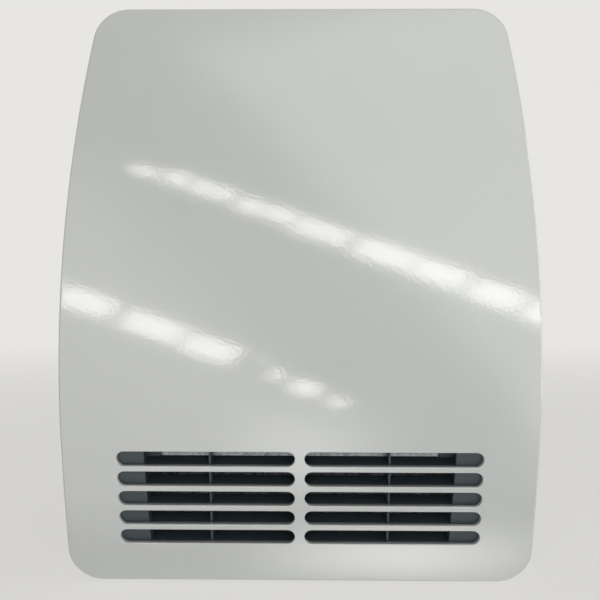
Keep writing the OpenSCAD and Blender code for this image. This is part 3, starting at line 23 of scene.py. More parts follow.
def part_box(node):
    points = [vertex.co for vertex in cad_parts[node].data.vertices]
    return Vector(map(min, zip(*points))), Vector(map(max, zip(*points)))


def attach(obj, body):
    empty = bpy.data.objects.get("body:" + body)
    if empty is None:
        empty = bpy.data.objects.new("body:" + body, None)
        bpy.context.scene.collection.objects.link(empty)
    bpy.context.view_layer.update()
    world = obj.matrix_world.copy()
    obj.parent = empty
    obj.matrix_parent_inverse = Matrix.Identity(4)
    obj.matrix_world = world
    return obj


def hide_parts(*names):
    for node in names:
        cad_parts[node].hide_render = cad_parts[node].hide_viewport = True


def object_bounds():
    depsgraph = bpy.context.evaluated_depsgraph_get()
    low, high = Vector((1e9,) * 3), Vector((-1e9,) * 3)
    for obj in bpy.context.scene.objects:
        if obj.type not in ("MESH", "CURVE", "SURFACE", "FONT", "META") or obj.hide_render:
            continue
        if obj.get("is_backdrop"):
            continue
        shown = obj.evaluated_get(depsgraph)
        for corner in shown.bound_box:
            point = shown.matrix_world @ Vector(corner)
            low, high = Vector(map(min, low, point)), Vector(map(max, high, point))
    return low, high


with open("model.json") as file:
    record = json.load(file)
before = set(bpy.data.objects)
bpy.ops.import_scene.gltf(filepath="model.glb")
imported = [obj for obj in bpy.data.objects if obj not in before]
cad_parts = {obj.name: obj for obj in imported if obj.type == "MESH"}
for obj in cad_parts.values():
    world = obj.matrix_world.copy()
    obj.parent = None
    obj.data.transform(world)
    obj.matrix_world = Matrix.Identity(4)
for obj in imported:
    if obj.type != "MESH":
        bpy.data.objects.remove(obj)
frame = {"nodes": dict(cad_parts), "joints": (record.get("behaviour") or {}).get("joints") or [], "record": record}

cad_low, cad_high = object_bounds()
nodes = frame["nodes"]
MM = 0.001
print("CAD box in mm:", [round((b - a) / MM, 1) for a, b in zip(cad_low, cad_high)])

# %% [markdown]
# ## Writing shader maths as Python
#
# A material is a graph of nodes. Wiring it by hand takes many lines that hide the idea, so a
# socket is wrapped in a small class whose operators add Math nodes. `1 - mask * 0.4` then reads
# like the formula it is. Everything that isn't plain arithmetic, such as a noise or a ramp, comes
# from one method that takes the node's type, its settings and what goes into its sockets.

# %% A graph, and a wire in it
class Wire:
    """One output of a node in a graph. Arithmetic on it adds Math nodes."""

    def __init__(self, graph, socket):
        self.graph, self.socket = graph, socket

    def maths(self, operation, first, second):
        return self.graph.node("Math", {"operation": operation}, {0: first, 1: second})

    def __add__(self, other):
        return self.maths("ADD", self, other)

    def __sub__(self, other):
        return self.maths("SUBTRACT", self, other)

    def __rsub__(self, other):
        return self.maths("SUBTRACT", other, self)

    def __mul__(self, other):
        return self.maths("MULTIPLY", self, other)

    __radd__ = __add__
    __rmul__ = __mul__


class Graph:
    """The nodes of a material, a lamp or the world, while they are being wired."""

    def __init__(self, tree):
        self.tree = tree
        tree.nodes.clear()

    def node(self, kind, settings=None, sockets=None, out=0):
        made = self.tree.nodes.new("ShaderNode" + kind)
        for key, value in (settings or {}).items():
            setattr(made, key, value)
        for key, value in (sockets or {}).items():
            if isinstance(value, Wire):
                self.tree.links.new(value.socket, made.inputs[key])
            else:
                made.inputs[key].default_value = value
        return Wire(self, made.outputs[out])

    def place(self):
        """Where the shaded point lies on its piece, in metres."""
        return self.node("TexCoord", out="Object")

    def noise(self, size, detail=2.0, place=None):
        """Noise whose patches measure about `size` metres, from 0 to 1."""
        return self.node("TexNoise", {}, {"Vector": place or self.place(), "Scale": 1 / size,
                                          "Detail": detail})

    def mixed(self, factor, first, second):
        """Two colours; all of the second one shows where the factor is 1."""
        return self.node("Mix", {"data_type": "RGBA"}, {0: factor, 6: first, 7: second}, out=2)

    def ramp(self, factor, stops):
        """Colours that run from stop to stop, each a position and a colour."""
        made = self.node("ValToRGB", {}, {"Fac": factor})
        elements = made.socket.node.color_ramp.elements
        while len(elements) < len(stops):
            elements.new(0.5)
        for element, (position, colour) in zip(elements, stops):
            element.position, element.color = position, rgb(colour)
        return made

    def end(self, kind, shader):
        """Wires a shader into the output of a Material, a Light or the World."""
        last = self.tree.nodes.new("ShaderNodeOutput" + kind)
        self.tree.links.new(shader.socket, last.inputs["Surface"])


class Finish(Graph):
    """The graph of a new material."""

    def __init__(self, name):
        self.material = bpy.data.materials.new(name)
        self.material.use_nodes = True
        super().__init__(self.material.node_tree)

    def bump(self, height, depth):
        """A normal that rises `depth` metres where the height is 1."""
        return self.node("Bump", {}, {"Height": height, "Distance": depth})

    def surface(self, **sockets):
        """Ends the finish in a Principled shader: `coat_weight` is its Coat Weight, and so on."""
        named = {key.replace("_", " ").title().replace("Ior", "IOR"): value
                 for key, value in sockets.items()}
        self.end("Material", self.node("BsdfPrincipled", {}, named))
        return self.material


def rgb(colour):
    return (*colour, 1.0)


print("shader maths ready")

# %% [markdown]
# ## The cover's finish
#
# The front is steel sheet with a baked powder coat. Powder melts into a smooth film that keeps a
# faint ripple, called orange peel, one to three millimetres from crest to crest. It doesn't show
# head-on, but it feathers the edge of every reflection. A photograph of the ripple could be
# wrapped round the cover, but two layers of noise in the bump give it at the right size on any
# shape. The bump reaches only the shader's own gloss, so that gloss is the film here, and the coat
# on top of it is a weak, rough one that leaves a haze round each highlight.

# %% White powder coat
COAT_WHITE, COAT_LIGHTER = (0.543, 0.560, 0.543), (0.557, 0.573, 0.555)
RIPPLE, FINE_RIPPLE, RIPPLE_DEPTH = 2.4 * MM, 1.1 * MM, 0.031 * MM


def powder_coat():
    finish = Finish("white_powder_coat")
    ripple = finish.noise(RIPPLE, 1.0) + finish.noise(FINE_RIPPLE, 0.0) * 0.2
    patches = finish.noise(60 * MM, 1.0)
    colour = finish.mixed(patches, rgb(COAT_WHITE), rgb(COAT_LIGHTER))
    return finish.surface(base_color=colour, roughness=0.078, ior=1.6, coat_weight=0.5,
                          coat_roughness=0.38, normal=finish.bump(ripple, RIPPLE_DEPTH))


print("coat ripples in mm:", [round(v / MM, 3) for v in (RIPPLE, FINE_RIPPLE, RIPPLE_DEPTH)])

# %% [markdown]
# ## Moulded plastics
#
# The shell, the grilles and the control panel are injection-moulded, and their moulds are etched,
# so the plastic has a fine grain and looks matt. The knobs and the rocker come from polished
# moulds. One function serves them all: the grain is a noise of a few tenths of a millimetre, and
# its depth and the roughness set how matt a piece looks.

# %% Plastic, from matt to satin
def plastic(name, colour, roughness, grain, depth, worn=0.06):
    """A moulded finish. `worn` is how much lighter its cloudy parts are."""
    finish = Finish(name)
    fine = finish.noise(grain, 2.0)
    cloudy = finish.noise(35 * MM, 2.0)
    lighter = tuple(min(1.0, c * (1 + worn) + worn * 0.05) for c in colour)
    tint = finish.mixed(cloudy, rgb(colour), rgb(lighter))
    rough = roughness + (cloudy - 0.5) * 0.12
    return finish.surface(base_color=tint, roughness=rough, normal=finish.bump(fine, depth))


print("plastic takes a grain size and depth in metres")

# %% [markdown]
# ## Sheet and bar metals
#
# Zinc-dipped sheet freezes into flat crystals, the spangle, each of which reflects the light a
# little differently. A Voronoi texture is exactly such a set of cells: its colour output gives
# each cell one random value, which here moves the cell's grey and its roughness. Plated screws
# and ground shafts have no spangle, but fine marks along or around them, which are a noise
# stretched one way.

# %% Galvanised, plated, ground and cast metal
def spangled(name, dark, light, crystal):
    """Galvanised sheet whose crystals measure about `crystal` metres."""
    finish = Finish(name)
    cells = finish.node("TexVoronoi", {}, {"Vector": finish.place(), "Scale": 1 / crystal},
                        out="Color")
    value = finish.node("SeparateColor", {}, {"Color": cells}, out=0)
    frost = finish.noise(0.5 * MM, 2.0)
    tint = finish.mixed(value, rgb(dark), rgb(light))
    rough = 0.30 + value * 0.16 + frost * 0.10
    return finish.surface(base_color=tint, metallic=0.9, roughness=rough,
                          normal=finish.bump(frost, 0.006 * MM))


def metal(name, colour, roughness, mark, depth=0.004 * MM, stretch=(1, 1, 1)):
    """Bare metal. Marks run along the axis whose stretch is small."""
    finish = Finish(name)
    along = finish.node("Mapping", {}, {"Vector": finish.place(), "Scale": stretch})
    marks = finish.noise(mark, 2.0, along)
    patches = finish.noise(9 * MM, 2.0)
    dull = tuple(c * 0.82 for c in colour)
    tint = finish.mixed(patches * 0.8, rgb(colour), rgb(dull))
    return finish.surface(base_color=tint, metallic=1.0, roughness=roughness + marks * 0.14,
                          normal=finish.bump(marks, depth))


print("metals: spangled sheet, and marked bar")

# %% [markdown]
# ## Finishes of the inner pieces
#
# Inside are a wound motor, a mica frame with heating ribbon, and rubber and insulation. Windings
# and stacked sheets are regular, so their lines are a wave texture: bands at the pitch of the
# wire or the sheet, as a bump and a darker tint in the grooves, painted shade between wires and
# between sheets. Mica shows flakes, and hot ribbon turns brown and blue in patches.

# %% Banded, flaky and woven finishes
NET_PITCH = 1.0472 * MM


def bands(finish, axis, pitch, distortion=0.0):
    """Waves across one axis, `pitch` metres from crest to crest."""
    return finish.node("TexWave", {"wave_type": "BANDS", "bands_direction": axis},
                       {"Vector": finish.place(), "Scale": math.pi / 10 / pitch,
                        "Distortion": distortion}, out="Fac")


def banded(name, crest, groove, pitch, axis, metallic, roughness):
    finish = Finish(name)
    waves = bands(finish, axis, pitch, 0.3)
    # The groove colour is painted shade: the tint is darkened in the grooves between wires and between sheets.
    tint = finish.mixed(waves, rgb(groove), rgb(crest))
    return finish.surface(base_color=tint, metallic=metallic, roughness=roughness,
                          normal=finish.bump(waves, 0.25 * pitch))


def mica():
    finish = Finish("mica_board")
    flakes = finish.noise(4 * MM, 5.0)
    tint = finish.ramp(flakes, [(0.3, (0.40, 0.33, 0.22)), (0.5, (0.56, 0.49, 0.36)),
                                (0.7, (0.70, 0.64, 0.50))])
    return finish.surface(base_color=tint, roughness=0.38 + flakes * 0.25,
                          normal=finish.bump(flakes, 0.05 * MM))


def heated_ribbon():
    finish = Finish("heating_ribbon")
    heat = finish.noise(11 * MM, 3.0)
    tint = finish.ramp(heat, [(0.35, (0.42, 0.39, 0.36)), (0.5, (0.36, 0.27, 0.20)),
                              (0.65, (0.22, 0.22, 0.30))])
    return finish.surface(base_color=tint, metallic=0.9, roughness=0.35 + heat * 0.2)


def woven_net():
    finish = Finish("filter_net")
    threads = [bands(finish, axis, NET_PITCH) for axis in "XY"]
    weave = threads[0].maths("MAXIMUM", *threads)
    # The dark between the threads is painted shade. It stands for the shaded inside seen through the net's holes.
    tint = finish.mixed(weave, rgb((0.05, 0.055, 0.06)), rgb((0.36, 0.38, 0.39)))
    return finish.surface(base_color=tint, roughness=0.8, normal=finish.bump(weave, 0.2 * MM))


print("wave bands, mica, ribbon and net ready")

# %% [markdown]
# ## One finish for each material of the record
#
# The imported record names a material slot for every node. A table from slot to finish dresses all
# nodes in one loop, so that no node is forgotten, and new pieces take their finish from the same
# table.

# %% Dress the nodes
# Colour, roughness, size and depth of the grain, in this order, for plastics; the same for metals.
finishes = {
    "white_powder_coat": powder_coat(),
    "anthracite_plastic": plastic("anthracite_plastic", (0.020, 0.031, 0.036), 0.52, 0.35 * MM,
                                  0.03 * MM, 0.03),
    "black_plastic": plastic("black_plastic", (0.022, 0.023, 0.025), 0.5, 0.4 * MM, 0.03 * MM),
    "knob_plastic": plastic("knob_plastic", (0.035, 0.037, 0.040), 0.32, 0.3 * MM, 0.006 * MM),
    "cream_plastic": plastic("cream_plastic", (0.66, 0.63, 0.52), 0.5, 0.5 * MM, 0.02 * MM),
    "filter_mesh": plastic("filter_frame", (0.16, 0.17, 0.175), 0.55, 0.4 * MM, 0.03 * MM),
    # The galvanised greys are kept darker than bare zinc sheet. This is painted shade, so that the strips seen
    # deep inside the slots stay as dim as the shaded duct.
    "galvanised": spangled("galvanised_sheet_painted_shade", (0.093, 0.102, 0.106), (0.235, 0.248, 0.253),
                           2.2 * MM),
    "zinc_steel": metal("zinc_plated_steel", (0.66, 0.66, 0.67), 0.26, 0.5 * MM),
    "ground_steel": metal("ground_steel", (0.58, 0.58, 0.59), 0.2, 0.3 * MM, stretch=(1, 0.1, 0.1)),
    "laminations": banded("stacked_sheet", (0.22, 0.225, 0.23), (0.07, 0.07, 0.075), 0.5 * MM, "X",
                          0.8, 0.45),
    "cast_zinc": metal("die_cast_zinc", (0.48, 0.49, 0.50), 0.42, 0.7 * MM, 0.02 * MM),
    "rotor_metal": metal("turned_rotor", (0.52, 0.53, 0.54), 0.28, 0.5 * MM, 0.01 * MM, (6, 1, 1)),
    "copper": banded("copper_windings", (0.70, 0.30, 0.12), (0.30, 0.10, 0.03), 0.4 * MM, "Y",
                     0.9, 0.3),
    "bronze": metal("sintered_bronze", (0.50, 0.33, 0.16), 0.5, 0.25 * MM, 0.02 * MM),
    "brass": metal("turned_brass", (0.72, 0.53, 0.22), 0.24, 0.4 * MM),
    "rubber": plastic("black_rubber", (0.018, 0.018, 0.019), 0.72, 0.6 * MM, 0.04 * MM),
    "mica": mica(),
    "element_wire": heated_ribbon(),
    "phenolic": plastic("brown_phenolic", (0.10, 0.045, 0.022), 0.3, 0.8 * MM, 0.01 * MM),
    "ceramic_white": plastic("glazed_ceramic", (0.74, 0.73, 0.68), 0.22, 1.2 * MM, 0.01 * MM),
    "lead_blue": plastic("blue_insulation", (0.03, 0.07, 0.32), 0.42, 0.5 * MM, 0.01 * MM),
    "lead_red": plastic("red_insulation", (0.36, 0.025, 0.02), 0.5, 0.5 * MM, 0.01 * MM),
    "lead_black": plastic("black_insulation", (0.02, 0.02, 0.021), 0.45, 0.5 * MM, 0.01 * MM),
}
net_finish = woven_net()
print_finish = plastic("white_print", (0.78, 0.78, 0.76), 0.5, 0.4 * MM, 0.004 * MM)
slot_of = {part["node"]: part["material_slot"] for part in frame["record"]["subparts"]}
for name, node in nodes.items():
    node.data.materials.clear()
    node.data.materials.append(finishes[slot_of[name]])
print("dressed", len(nodes), "nodes with", len(finishes), "finishes")

# %% [markdown]
# ## Turning points into pieces
#
# Every new piece is a list of points and faces. One function makes the object, gives it its
# finish and lets it ride on its body. Where the normals of a shape are known exactly, as on the
# bowed cover, they are passed along, and the reflections come out as smooth as the real sheet
# even where the faces are long.

# %% Pieces from points
def link(thing):
    bpy.context.scene.collection.objects.link(thing)


def piece_from(name, points, faces, slot, body="heater", normals=None, finish=None):
    """A new piece on a body. With `normals`, one for each point, its faces are turned to them."""
    mesh = bpy.data.meshes.new(name)
    if normals:
        faces = [face if facing_out(face, points, normals) else face[::-1] for face in faces]
    mesh.from_pydata([tuple(p) for p in points], [], faces)
    mesh.validate()
    mesh.shade_smooth()
    if normals:
        mesh.normals_split_custom_set_from_vertices([tuple(n) for n in normals])
    piece = bpy.data.objects.new(name, mesh)
    return finished(piece, slot, body, finish)


def facing_out(face, points, normals):
    a, b, c = (points[i] for i in face[:3])
    return (b - a).cross(c - a).dot(normals[face[0]] + normals[face[1]] + normals[face[2]]) > 0


def finished(piece, slot, body="heater", finish=None):
    """Gives a piece the finish of its slot, or the one given, and lets it ride on its body."""
    link(piece)
    piece.data.materials.clear()
    piece.data.materials.append(finish or finishes[slot])
    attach(piece, body)
    return piece


def bridge(first, second):
    """Quads between two rings of point numbers that go round the same way."""
    count = len(first)
    return [(first[i], first[(i + 1) % count], second[(i + 1) % count], second[i])
            for i in range(count)]


def closed(start, count):
    """The border round `count` points from number `start` on, as pairs of neighbours."""
    return [(start + i, start + (i + 1) % count) for i in range(count)]


print("piece maker ready")

# %% [markdown]
# ## The cover's shape
#
# The cover is pressed from one sheet. Seen from the side its front follows an arc of a little
# over a metre, and seen from the front its sides lean inwards on a longer arc and end in rounded
# corners. Both could be traced, but two radii and two heights describe them fully, so the outline
# is worked out here as points with their outward directions. The width, height and depth come
# from the CAD node's own box.

# %% The bow and the outline
cover_low, cover_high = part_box("front_cover")
HALF = cover_high.x
BOW_RADIUS, BOW_MIDDLE = 1107 * MM, -40 * MM
BOW_AXIS = cover_low.y + BOW_RADIUS
LEAN_START, LEAN_RADIUS, CORNER = -179 * MM, 1980 * MM, 28 * MM
SHEET, BEND = 1.2 * MM, 2.0 * MM
POINT_STEP, CORNER_STEP = 7 * MM, 2.2 * MM


def bow_normal(z, inset=0.0):
    """The way out of the bow at a height; `inset` shrinks its radius."""
    lift = (z - BOW_MIDDLE) / (BOW_RADIUS - inset)
    return Vector((0, -math.sqrt(1 - lift * lift), lift))


def on_bow(x, z, inset=0.0):
    reach = math.sqrt((BOW_RADIUS - inset) ** 2 - (z - BOW_MIDDLE) ** 2)
    return Vector((x, BOW_AXIS - reach, z))


def stretch(start, end, out):
    """Points along a straight stretch of outline, with their outward direction."""
    count = max(1, round((end - start).length / POINT_STEP))
    return [(start.lerp(end, i / count), out) for i in range(count)]


def turn(centre, radius, first, last, step):
    """Points along an arc from the first angle to the last, with their outward direction."""
    count = max(2, round(radius * abs(last - first) / step))
    ways = [first + (last - first) * i / count for i in range(count)]
    ways = [Vector((math.cos(a), math.sin(a))) for a in ways]
    return [(centre + radius * way, way) for way in ways]


def cover_outline():
    """The cover seen from the front, anticlockwise from the middle of its lower edge."""
    low, high = cover_low.z, cover_high.z
    lean_end = math.asin((high - CORNER - LEAN_START) / (LEAN_RADIUS - CORNER))
    lean_centre = Vector((HALF - LEAN_RADIUS, LEAN_START))
    low_corner = Vector((HALF - CORNER, low + CORNER))
    lean_reach = (LEAN_RADIUS - CORNER) * math.cos(lean_end)
    high_corner = Vector((lean_centre.x + lean_reach, high - CORNER))
    right = stretch(Vector((0, low)), Vector((low_corner.x, low)), Vector((0, -1)))
    right += turn(low_corner, CORNER, -math.pi / 2, 0, CORNER_STEP)
    right += stretch(Vector((HALF, low_corner.y)), Vector((HALF, LEAN_START)), Vector((1, 0)))
    right += turn(lean_centre, LEAN_RADIUS, 0, lean_end, POINT_STEP)
    right += turn(high_corner, CORNER, lean_end, math.pi / 2, CORNER_STEP)
    right += stretch(Vector((high_corner.x, high)), Vector((0, high)), Vector((0, 1)))
    left = [(Vector((-p.x, p.y)), Vector((-n.x, n.y))) for p, n in reversed(right[1:])]
    return right + [(Vector((0, high)), Vector((0, 1)))] + left


outline = cover_outline()
print("outline points:", len(outline), "top half width in mm:",
      round(max(p.x for p, n in outline if p.y > cover_high.z - 0.001 * MM) / MM, 1))

# %% [markdown]
# ## The ten slots
#
# Each slot is punched and its edge drawn inwards over a round shoulder, which is what catches a
# thin bright line all round it. A boolean would leave a sharp cut. Instead the edge is built as
# rings: the first lies on the bow, the next ones turn over the shoulder, and the last ones go
# straight back. The cover's outer edge is the same thing the other way out, so one function
# makes both.

# %% Slots and turned edges
SLOT_ROWS, SLOT_PITCH, SLOT_HALF = 5, 16.84 * MM, 6 * MM
SLOT_TOP, SLOT_IN, SLOT_OUT = -186.2 * MM, 4.0 * MM, 148.1 * MM
RIM_DEPTH, SHOULDER = 4.2 * MM, 0.8 * MM
SLOT_STEP, TURN_STEPS, RIM_STEPS, RETURN_STEPS = 1.3 * MM, 6, 2, 4


def slot_outline(side, row):
    """A slot's edge with directions that point into the sheet."""
    z = SLOT_TOP - SLOT_HALF - row * SLOT_PITCH
    inner, outer = SLOT_IN + SLOT_HALF, SLOT_OUT - SLOT_HALF
    up, down = Vector((0, 1)), Vector((0, -1))
    loop = stretch(Vector((inner, z - SLOT_HALF)), Vector((outer, z - SLOT_HALF)), down)
    loop += turn(Vector((outer, z)), SLOT_HALF, -math.pi / 2, math.pi / 2, SLOT_STEP)
    loop += stretch(Vector((outer, z + SLOT_HALF)), Vector((inner, z + SLOT_HALF)), up)
    loop += turn(Vector((inner, z)), SLOT_HALF, math.pi / 2, 3 * math.pi / 2, SLOT_STEP)
    return [(Vector((side * p.x, p.y)), Vector((side * n.x, n.y))) for p, n in loop]


def turned_edge(loop, radius, back, wall_steps, facing):
    """Rings of (point, normal) from the bow over a shoulder and straight back.

    `facing` is 1 where the edge turns outwards and -1 where it turns into a slot, and `back`
    gives the wall's last depth at a point of the loop.
    """
    rings = [[] for _ in range(TURN_STEPS + 1 + wall_steps)]
    for point, out in loop:
        side = Vector((out.x, 0, out.y)) * facing
        middle = point - Vector((side.x, side.z)) * radius
        centre = on_bow(middle.x, middle.y, radius)
        front = bow_normal(middle.y, radius)
        for k in range(TURN_STEPS + 1):
            way = front.slerp(side, k / TURN_STEPS)
            rings[k].append((centre + way * radius, way))
        start = centre + side * radius
        for k in range(1, wall_steps + 1):
            depth = start.y + (back(point) - start.y) * k / wall_steps
            rings[TURN_STEPS + k].append((Vector((start.x, depth, start.z)), side.copy()))
    return rings


edges = [turned_edge(outline, BEND, lambda p: cover_high.y, RETURN_STEPS, 1)]
for row in range(SLOT_ROWS):
    for side in (-1, 1):
        edges.append(turned_edge(slot_outline(side, row), SHOULDER,
                                 lambda p: on_bow(p.x, p.y, RIM_DEPTH).y, RIM_STEPS, -1))
print("edges:", len(edges), "points on a slot:", len(edges[1][0]))

# %% [markdown]
# ## Filling the front between the edges
#
# What is left is the bowed field with ten holes in it. A grid with cut-outs would leave steps
# round each slot, so a constrained Delaunay triangulation joins the edges' own points with a
# loose grid between them. It works in the flat, and the points are lifted onto the bow after it.
# The sheet gets its thickness by a copy of every point, moved one sheet inwards along its normal.

# %% The pressed cover
# The triangulation's codes: fill the hull of all points, or only what the borders enclose.
WHOLE_HULL, INSIDE_BORDERS = 0, 1
EDGE_ROOM, SLOT_ROOM = BEND + 3 * MM, SHOULDER + 2 * MM
SAME_POINT = 1e-7


def near_slot(x, z, room):
    """True where a point is less than `room` outside one of the slots."""
    x = abs(x)
    for row in range(SLOT_ROWS):
        dz = z - (SLOT_TOP - SLOT_HALF - row * SLOT_PITCH)
        dx = max(SLOT_IN + SLOT_HALF - x, 0, x - (SLOT_OUT - SLOT_HALF))
        if math.hypot(dx, dz) < SLOT_HALF + room:
            return True
    return False


def inside_outline(x, z, room):
    """True where a point is at least `room` inside the cover's outline."""
    return all((Vector((x, z)) - p).dot(n) < -room for p, n in outline[::3])


def front_field(points, rings):
    """Triangles between the first rings, and the grid's points that they use."""
    flat = [Vector((points[i].x, points[i].z)) for ring in rings for i in ring]
    owner = [i for ring in rings for i in ring]
    borders, start = [], 0
    for ring in rings:
        borders += closed(start, len(ring))
        start += len(ring)
    grid = []
    for i in range(int(2 * HALF / POINT_STEP)):
        for j in range(int((cover_high.z - cover_low.z) / POINT_STEP)):
            x = -HALF + (i + 0.5 + 0.25 * (j % 2)) * POINT_STEP
            z = cover_low.z + (j + 0.5) * POINT_STEP
            if inside_outline(x, z, EDGE_ROOM) and not near_slot(x, z, SLOT_ROOM):
                grid.append(Vector((x, z)))
    made, _, triangles, origin, _, _ = delaunay_2d_cdt(flat + grid, borders, [], INSIDE_BORDERS,
                                                       SAME_POINT)
    first_new = len(points)
    points += [on_bow(p.x, p.y) for p in grid]
    owner += range(first_new, len(points))
    faces = []
    for triangle in triangles:
        x, z = (sum(made[i][axis] for i in triangle) / 3 for axis in (0, 1))
        if not near_slot(x, z, SHOULDER * 0.5):
            faces.append(tuple(owner[origin[i][0]] for i in triangle))
    return faces


def pressed_cover():
    """The sheet, front and back, and the cut edges that show its thickness."""
    points, normals, faces, firsts, lasts = [], [], [], [], []
    for rings in edges:
        numbers = []
        for ring in rings:
            numbers.append(list(range(len(points), len(points) + len(ring))))
            points += [p for p, n in ring]
            normals += [n for p, n in ring]
        for near, far in zip(numbers, numbers[1:]):
            faces += bridge(near, far)
        firsts.append(numbers[0])
        lasts.append(numbers[-1])
    faces += front_field(points, firsts)
    normals += [bow_normal(p.z) for p in points[len(normals):]]
    count = len(points)
    inner = [p - n * SHEET for p, n in zip(points, normals)]
    back_faces = [tuple(i + count for i in face) for face in faces]
    cuts = [quad for ring in lasts for quad in bridge(ring, [i + count for i in ring])]
    piece = piece_from("cover_sheet", points + inner, faces + back_faces, "white_powder_coat",
                       normals=normals + [-n for n in normals])
    piece_from("cover_sheet_cut", points + inner, cuts, "white_powder_coat")
    return piece


cover_sheet = pressed_cover()
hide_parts("front_cover")
print("cover faces:", len(cover_sheet.data.polygons))

# %% [markdown]
# ## Rounding moulded and stamped edges
#
# No real edge is perfectly sharp: a mould leaves a radius of a few tenths of a millimetre, and
# that radius is what makes an edge glint. The CAD solids are right in shape but sharp, and their
# meshes stay as they are, so a copy of the mesh is cleaned up, gets a Bevel modifier on its sharp
# edges and stands in for the node. A Weighted Normal modifier after it keeps the large faces flat
# and leaves all the curving to the bevels. The table holds each node's radius, body by body.

# %% Softened copies of CAD nodes
SHARP, FLAT = math.radians(40), math.radians(0.5)
BEVEL_STEPS, LARGE_FACES_ONLY = 2, 100
ROUNDED = {"heater": {"outlet_grille": 0.35 * MM, "control_panel": 0.4 * MM,
                      "rear_housing": 0.4 * MM, "wall_bracket": 0.3 * MM,
                      "intake_grille": 0.35 * MM, "power_switch_housing": 0.3 * MM,
                      "dust_filter": 0.2 * MM},
           "thermostat": {"thermostat_knob": 0.3 * MM},
           "timer": {"timer_knob": 0.3 * MM},
           "rocker": {"power_switch_rocker": 0.4 * MM}}


def softened(node, radius, body):
    """A copy of a node whose sharp edges are rounded, in the node's place."""
    copy = nodes[node].data.copy()
    shape = bmesh.new()
    shape.from_mesh(copy)
    bmesh.ops.remove_doubles(shape, verts=shape.verts, dist=0.002 * MM)
    bmesh.ops.dissolve_limit(shape, angle_limit=FLAT, verts=shape.verts, edges=shape.edges)
    shape.to_mesh(copy)
    shape.free()
    copy.shade_smooth()
    copy.set_sharp_from_angle(angle=SHARP)
    piece = bpy.data.objects.new(node + "_rounded", copy)
    finished(piece, slot_of[node], body)
    bevel = piece.modifiers.new("mould_radius", "BEVEL")
    bevel.width, bevel.segments = radius, BEVEL_STEPS
    bevel.limit_method, bevel.angle_limit = "ANGLE", SHARP
    bevel.use_clamp_overlap = False
    flat = piece.modifiers.new("flat_faces", "WEIGHTED_NORMAL")
    flat.weight, flat.keep_sharp = LARGE_FACES_ONLY, True
    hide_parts(node)


for body, radii in ROUNDED.items():
    for node, radius in radii.items():
        softened(node, radius, body)
print("softened", sum(len(radii) for radii in ROUNDED.values()), "nodes")

# %% [markdown]
# ## Screws with a cross recess
#
# Every screw that shows has a pan head with a cross recess. A boolean could cut the recess, but
# it leaves long thin triangles that shade badly. Here the head is drawn as outlines instead:
# circles for its rounded side, a cross for the mouth of the recess and a smaller cross for its
# floor. The flat between the last circle and the cross is filled in the same way as the cover's
# front. The thread is a row of rings that go in and out.

# %% Pan-head screws
HEAD_RADIUS, HEAD_HEIGHT, SHANK_RADIUS = 2.8 * MM, 1.8 * MM, 1.5 * MM
MOUTH_LONG, MOUTH_WIDE = HEAD_RADIUS * 0.50, HEAD_RADIUS * 0.13
FLOOR_LONG, FLOOR_WIDE, FLOOR_HIGH = HEAD_RADIUS * 0.34, HEAD_RADIUS * 0.09, HEAD_HEIGHT * 0.35
# The head's rounding takes these shares of its radius and of its height.
ROUND_IN, ROUND_LOW = 0.28, 0.35
THREAD_PITCH, THREAD_ROOT = 0.8 * MM, 0.8
DRAWN_SHARP = math.radians(35)


def circle(radius, height, count=32):
    return [Vector((radius * math.cos(a), radius * math.sin(a), height))
            for a in (2 * math.pi * i / count for i in range(count))]


def cross(length, width, height):
    """The outline of a cross, whose arms are twice `width` wide."""
    arm = [Vector((length, -width, height)), Vector((length, width, height)),
           Vector((width, width, height))]
    return [Matrix.Rotation(k * math.pi / 2, 3, "Z") @ p for k in range(4) for p in arm]


def screw_shape(length):
    """Points and faces of a screw that stands on z = 0 and points down."""
    side = [circle(HEAD_RADIUS * (1 - ROUND_IN * (1 - math.cos(a))),
                   HEAD_HEIGHT * (ROUND_LOW + (1 - ROUND_LOW) * math.sin(a)))
            for a in (i * math.pi / 8 for i in range(5))]
    half_turn = THREAD_PITCH / 2
    thread = [circle(SHANK_RADIUS * (1.0 if k % 2 else THREAD_ROOT), -half_turn * k)
              for k in range(int(length / half_turn))]
    outlines = [*reversed(thread), circle(HEAD_RADIUS * 0.97, 0), *side,
                cross(MOUTH_LONG, MOUTH_WIDE, HEAD_HEIGHT),
                cross(FLOOR_LONG, FLOOR_WIDE, FLOOR_HIGH)]
    points, rings = [], []
    for outline_points in outlines:
        rings.append(list(range(len(points), len(points) + len(outline_points))))
        points += outline_points
    faces = [face for low, high in zip(rings[:-3], rings[1:-2]) for face in bridge(low, high)]
    faces += bridge(rings[-2], rings[-1])
    faces += [tuple(reversed(rings[0])), tuple(rings[-1])]
    rim, mouth = rings[-3], rings[-2]
    around = rim + mouth
    borders = closed(0, len(rim)) + closed(len(rim), len(mouth))
    flat = [Vector((points[i].x, points[i].y)) for i in around]
    _, _, triangles, origin, _, _ = delaunay_2d_cdt(flat, borders, [], WHOLE_HULL, SAME_POINT / 10)
    for triangle in triangles:
        numbers = tuple(around[origin[i][0]] for i in triangle)
        if not (set(numbers) <= set(mouth) and in_cross([points[i] for i in numbers])):
            faces.append(numbers)
    return points, faces


def in_cross(corners):
    """True where the middle of a triangle lies in the mouth of the recess."""
    middle = sum(corners, Vector()) / 3
    short, long = sorted((abs(middle.x), abs(middle.y)))
    return short < MOUTH_WIDE + SAME_POINT and long < MOUTH_LONG + SAME_POINT


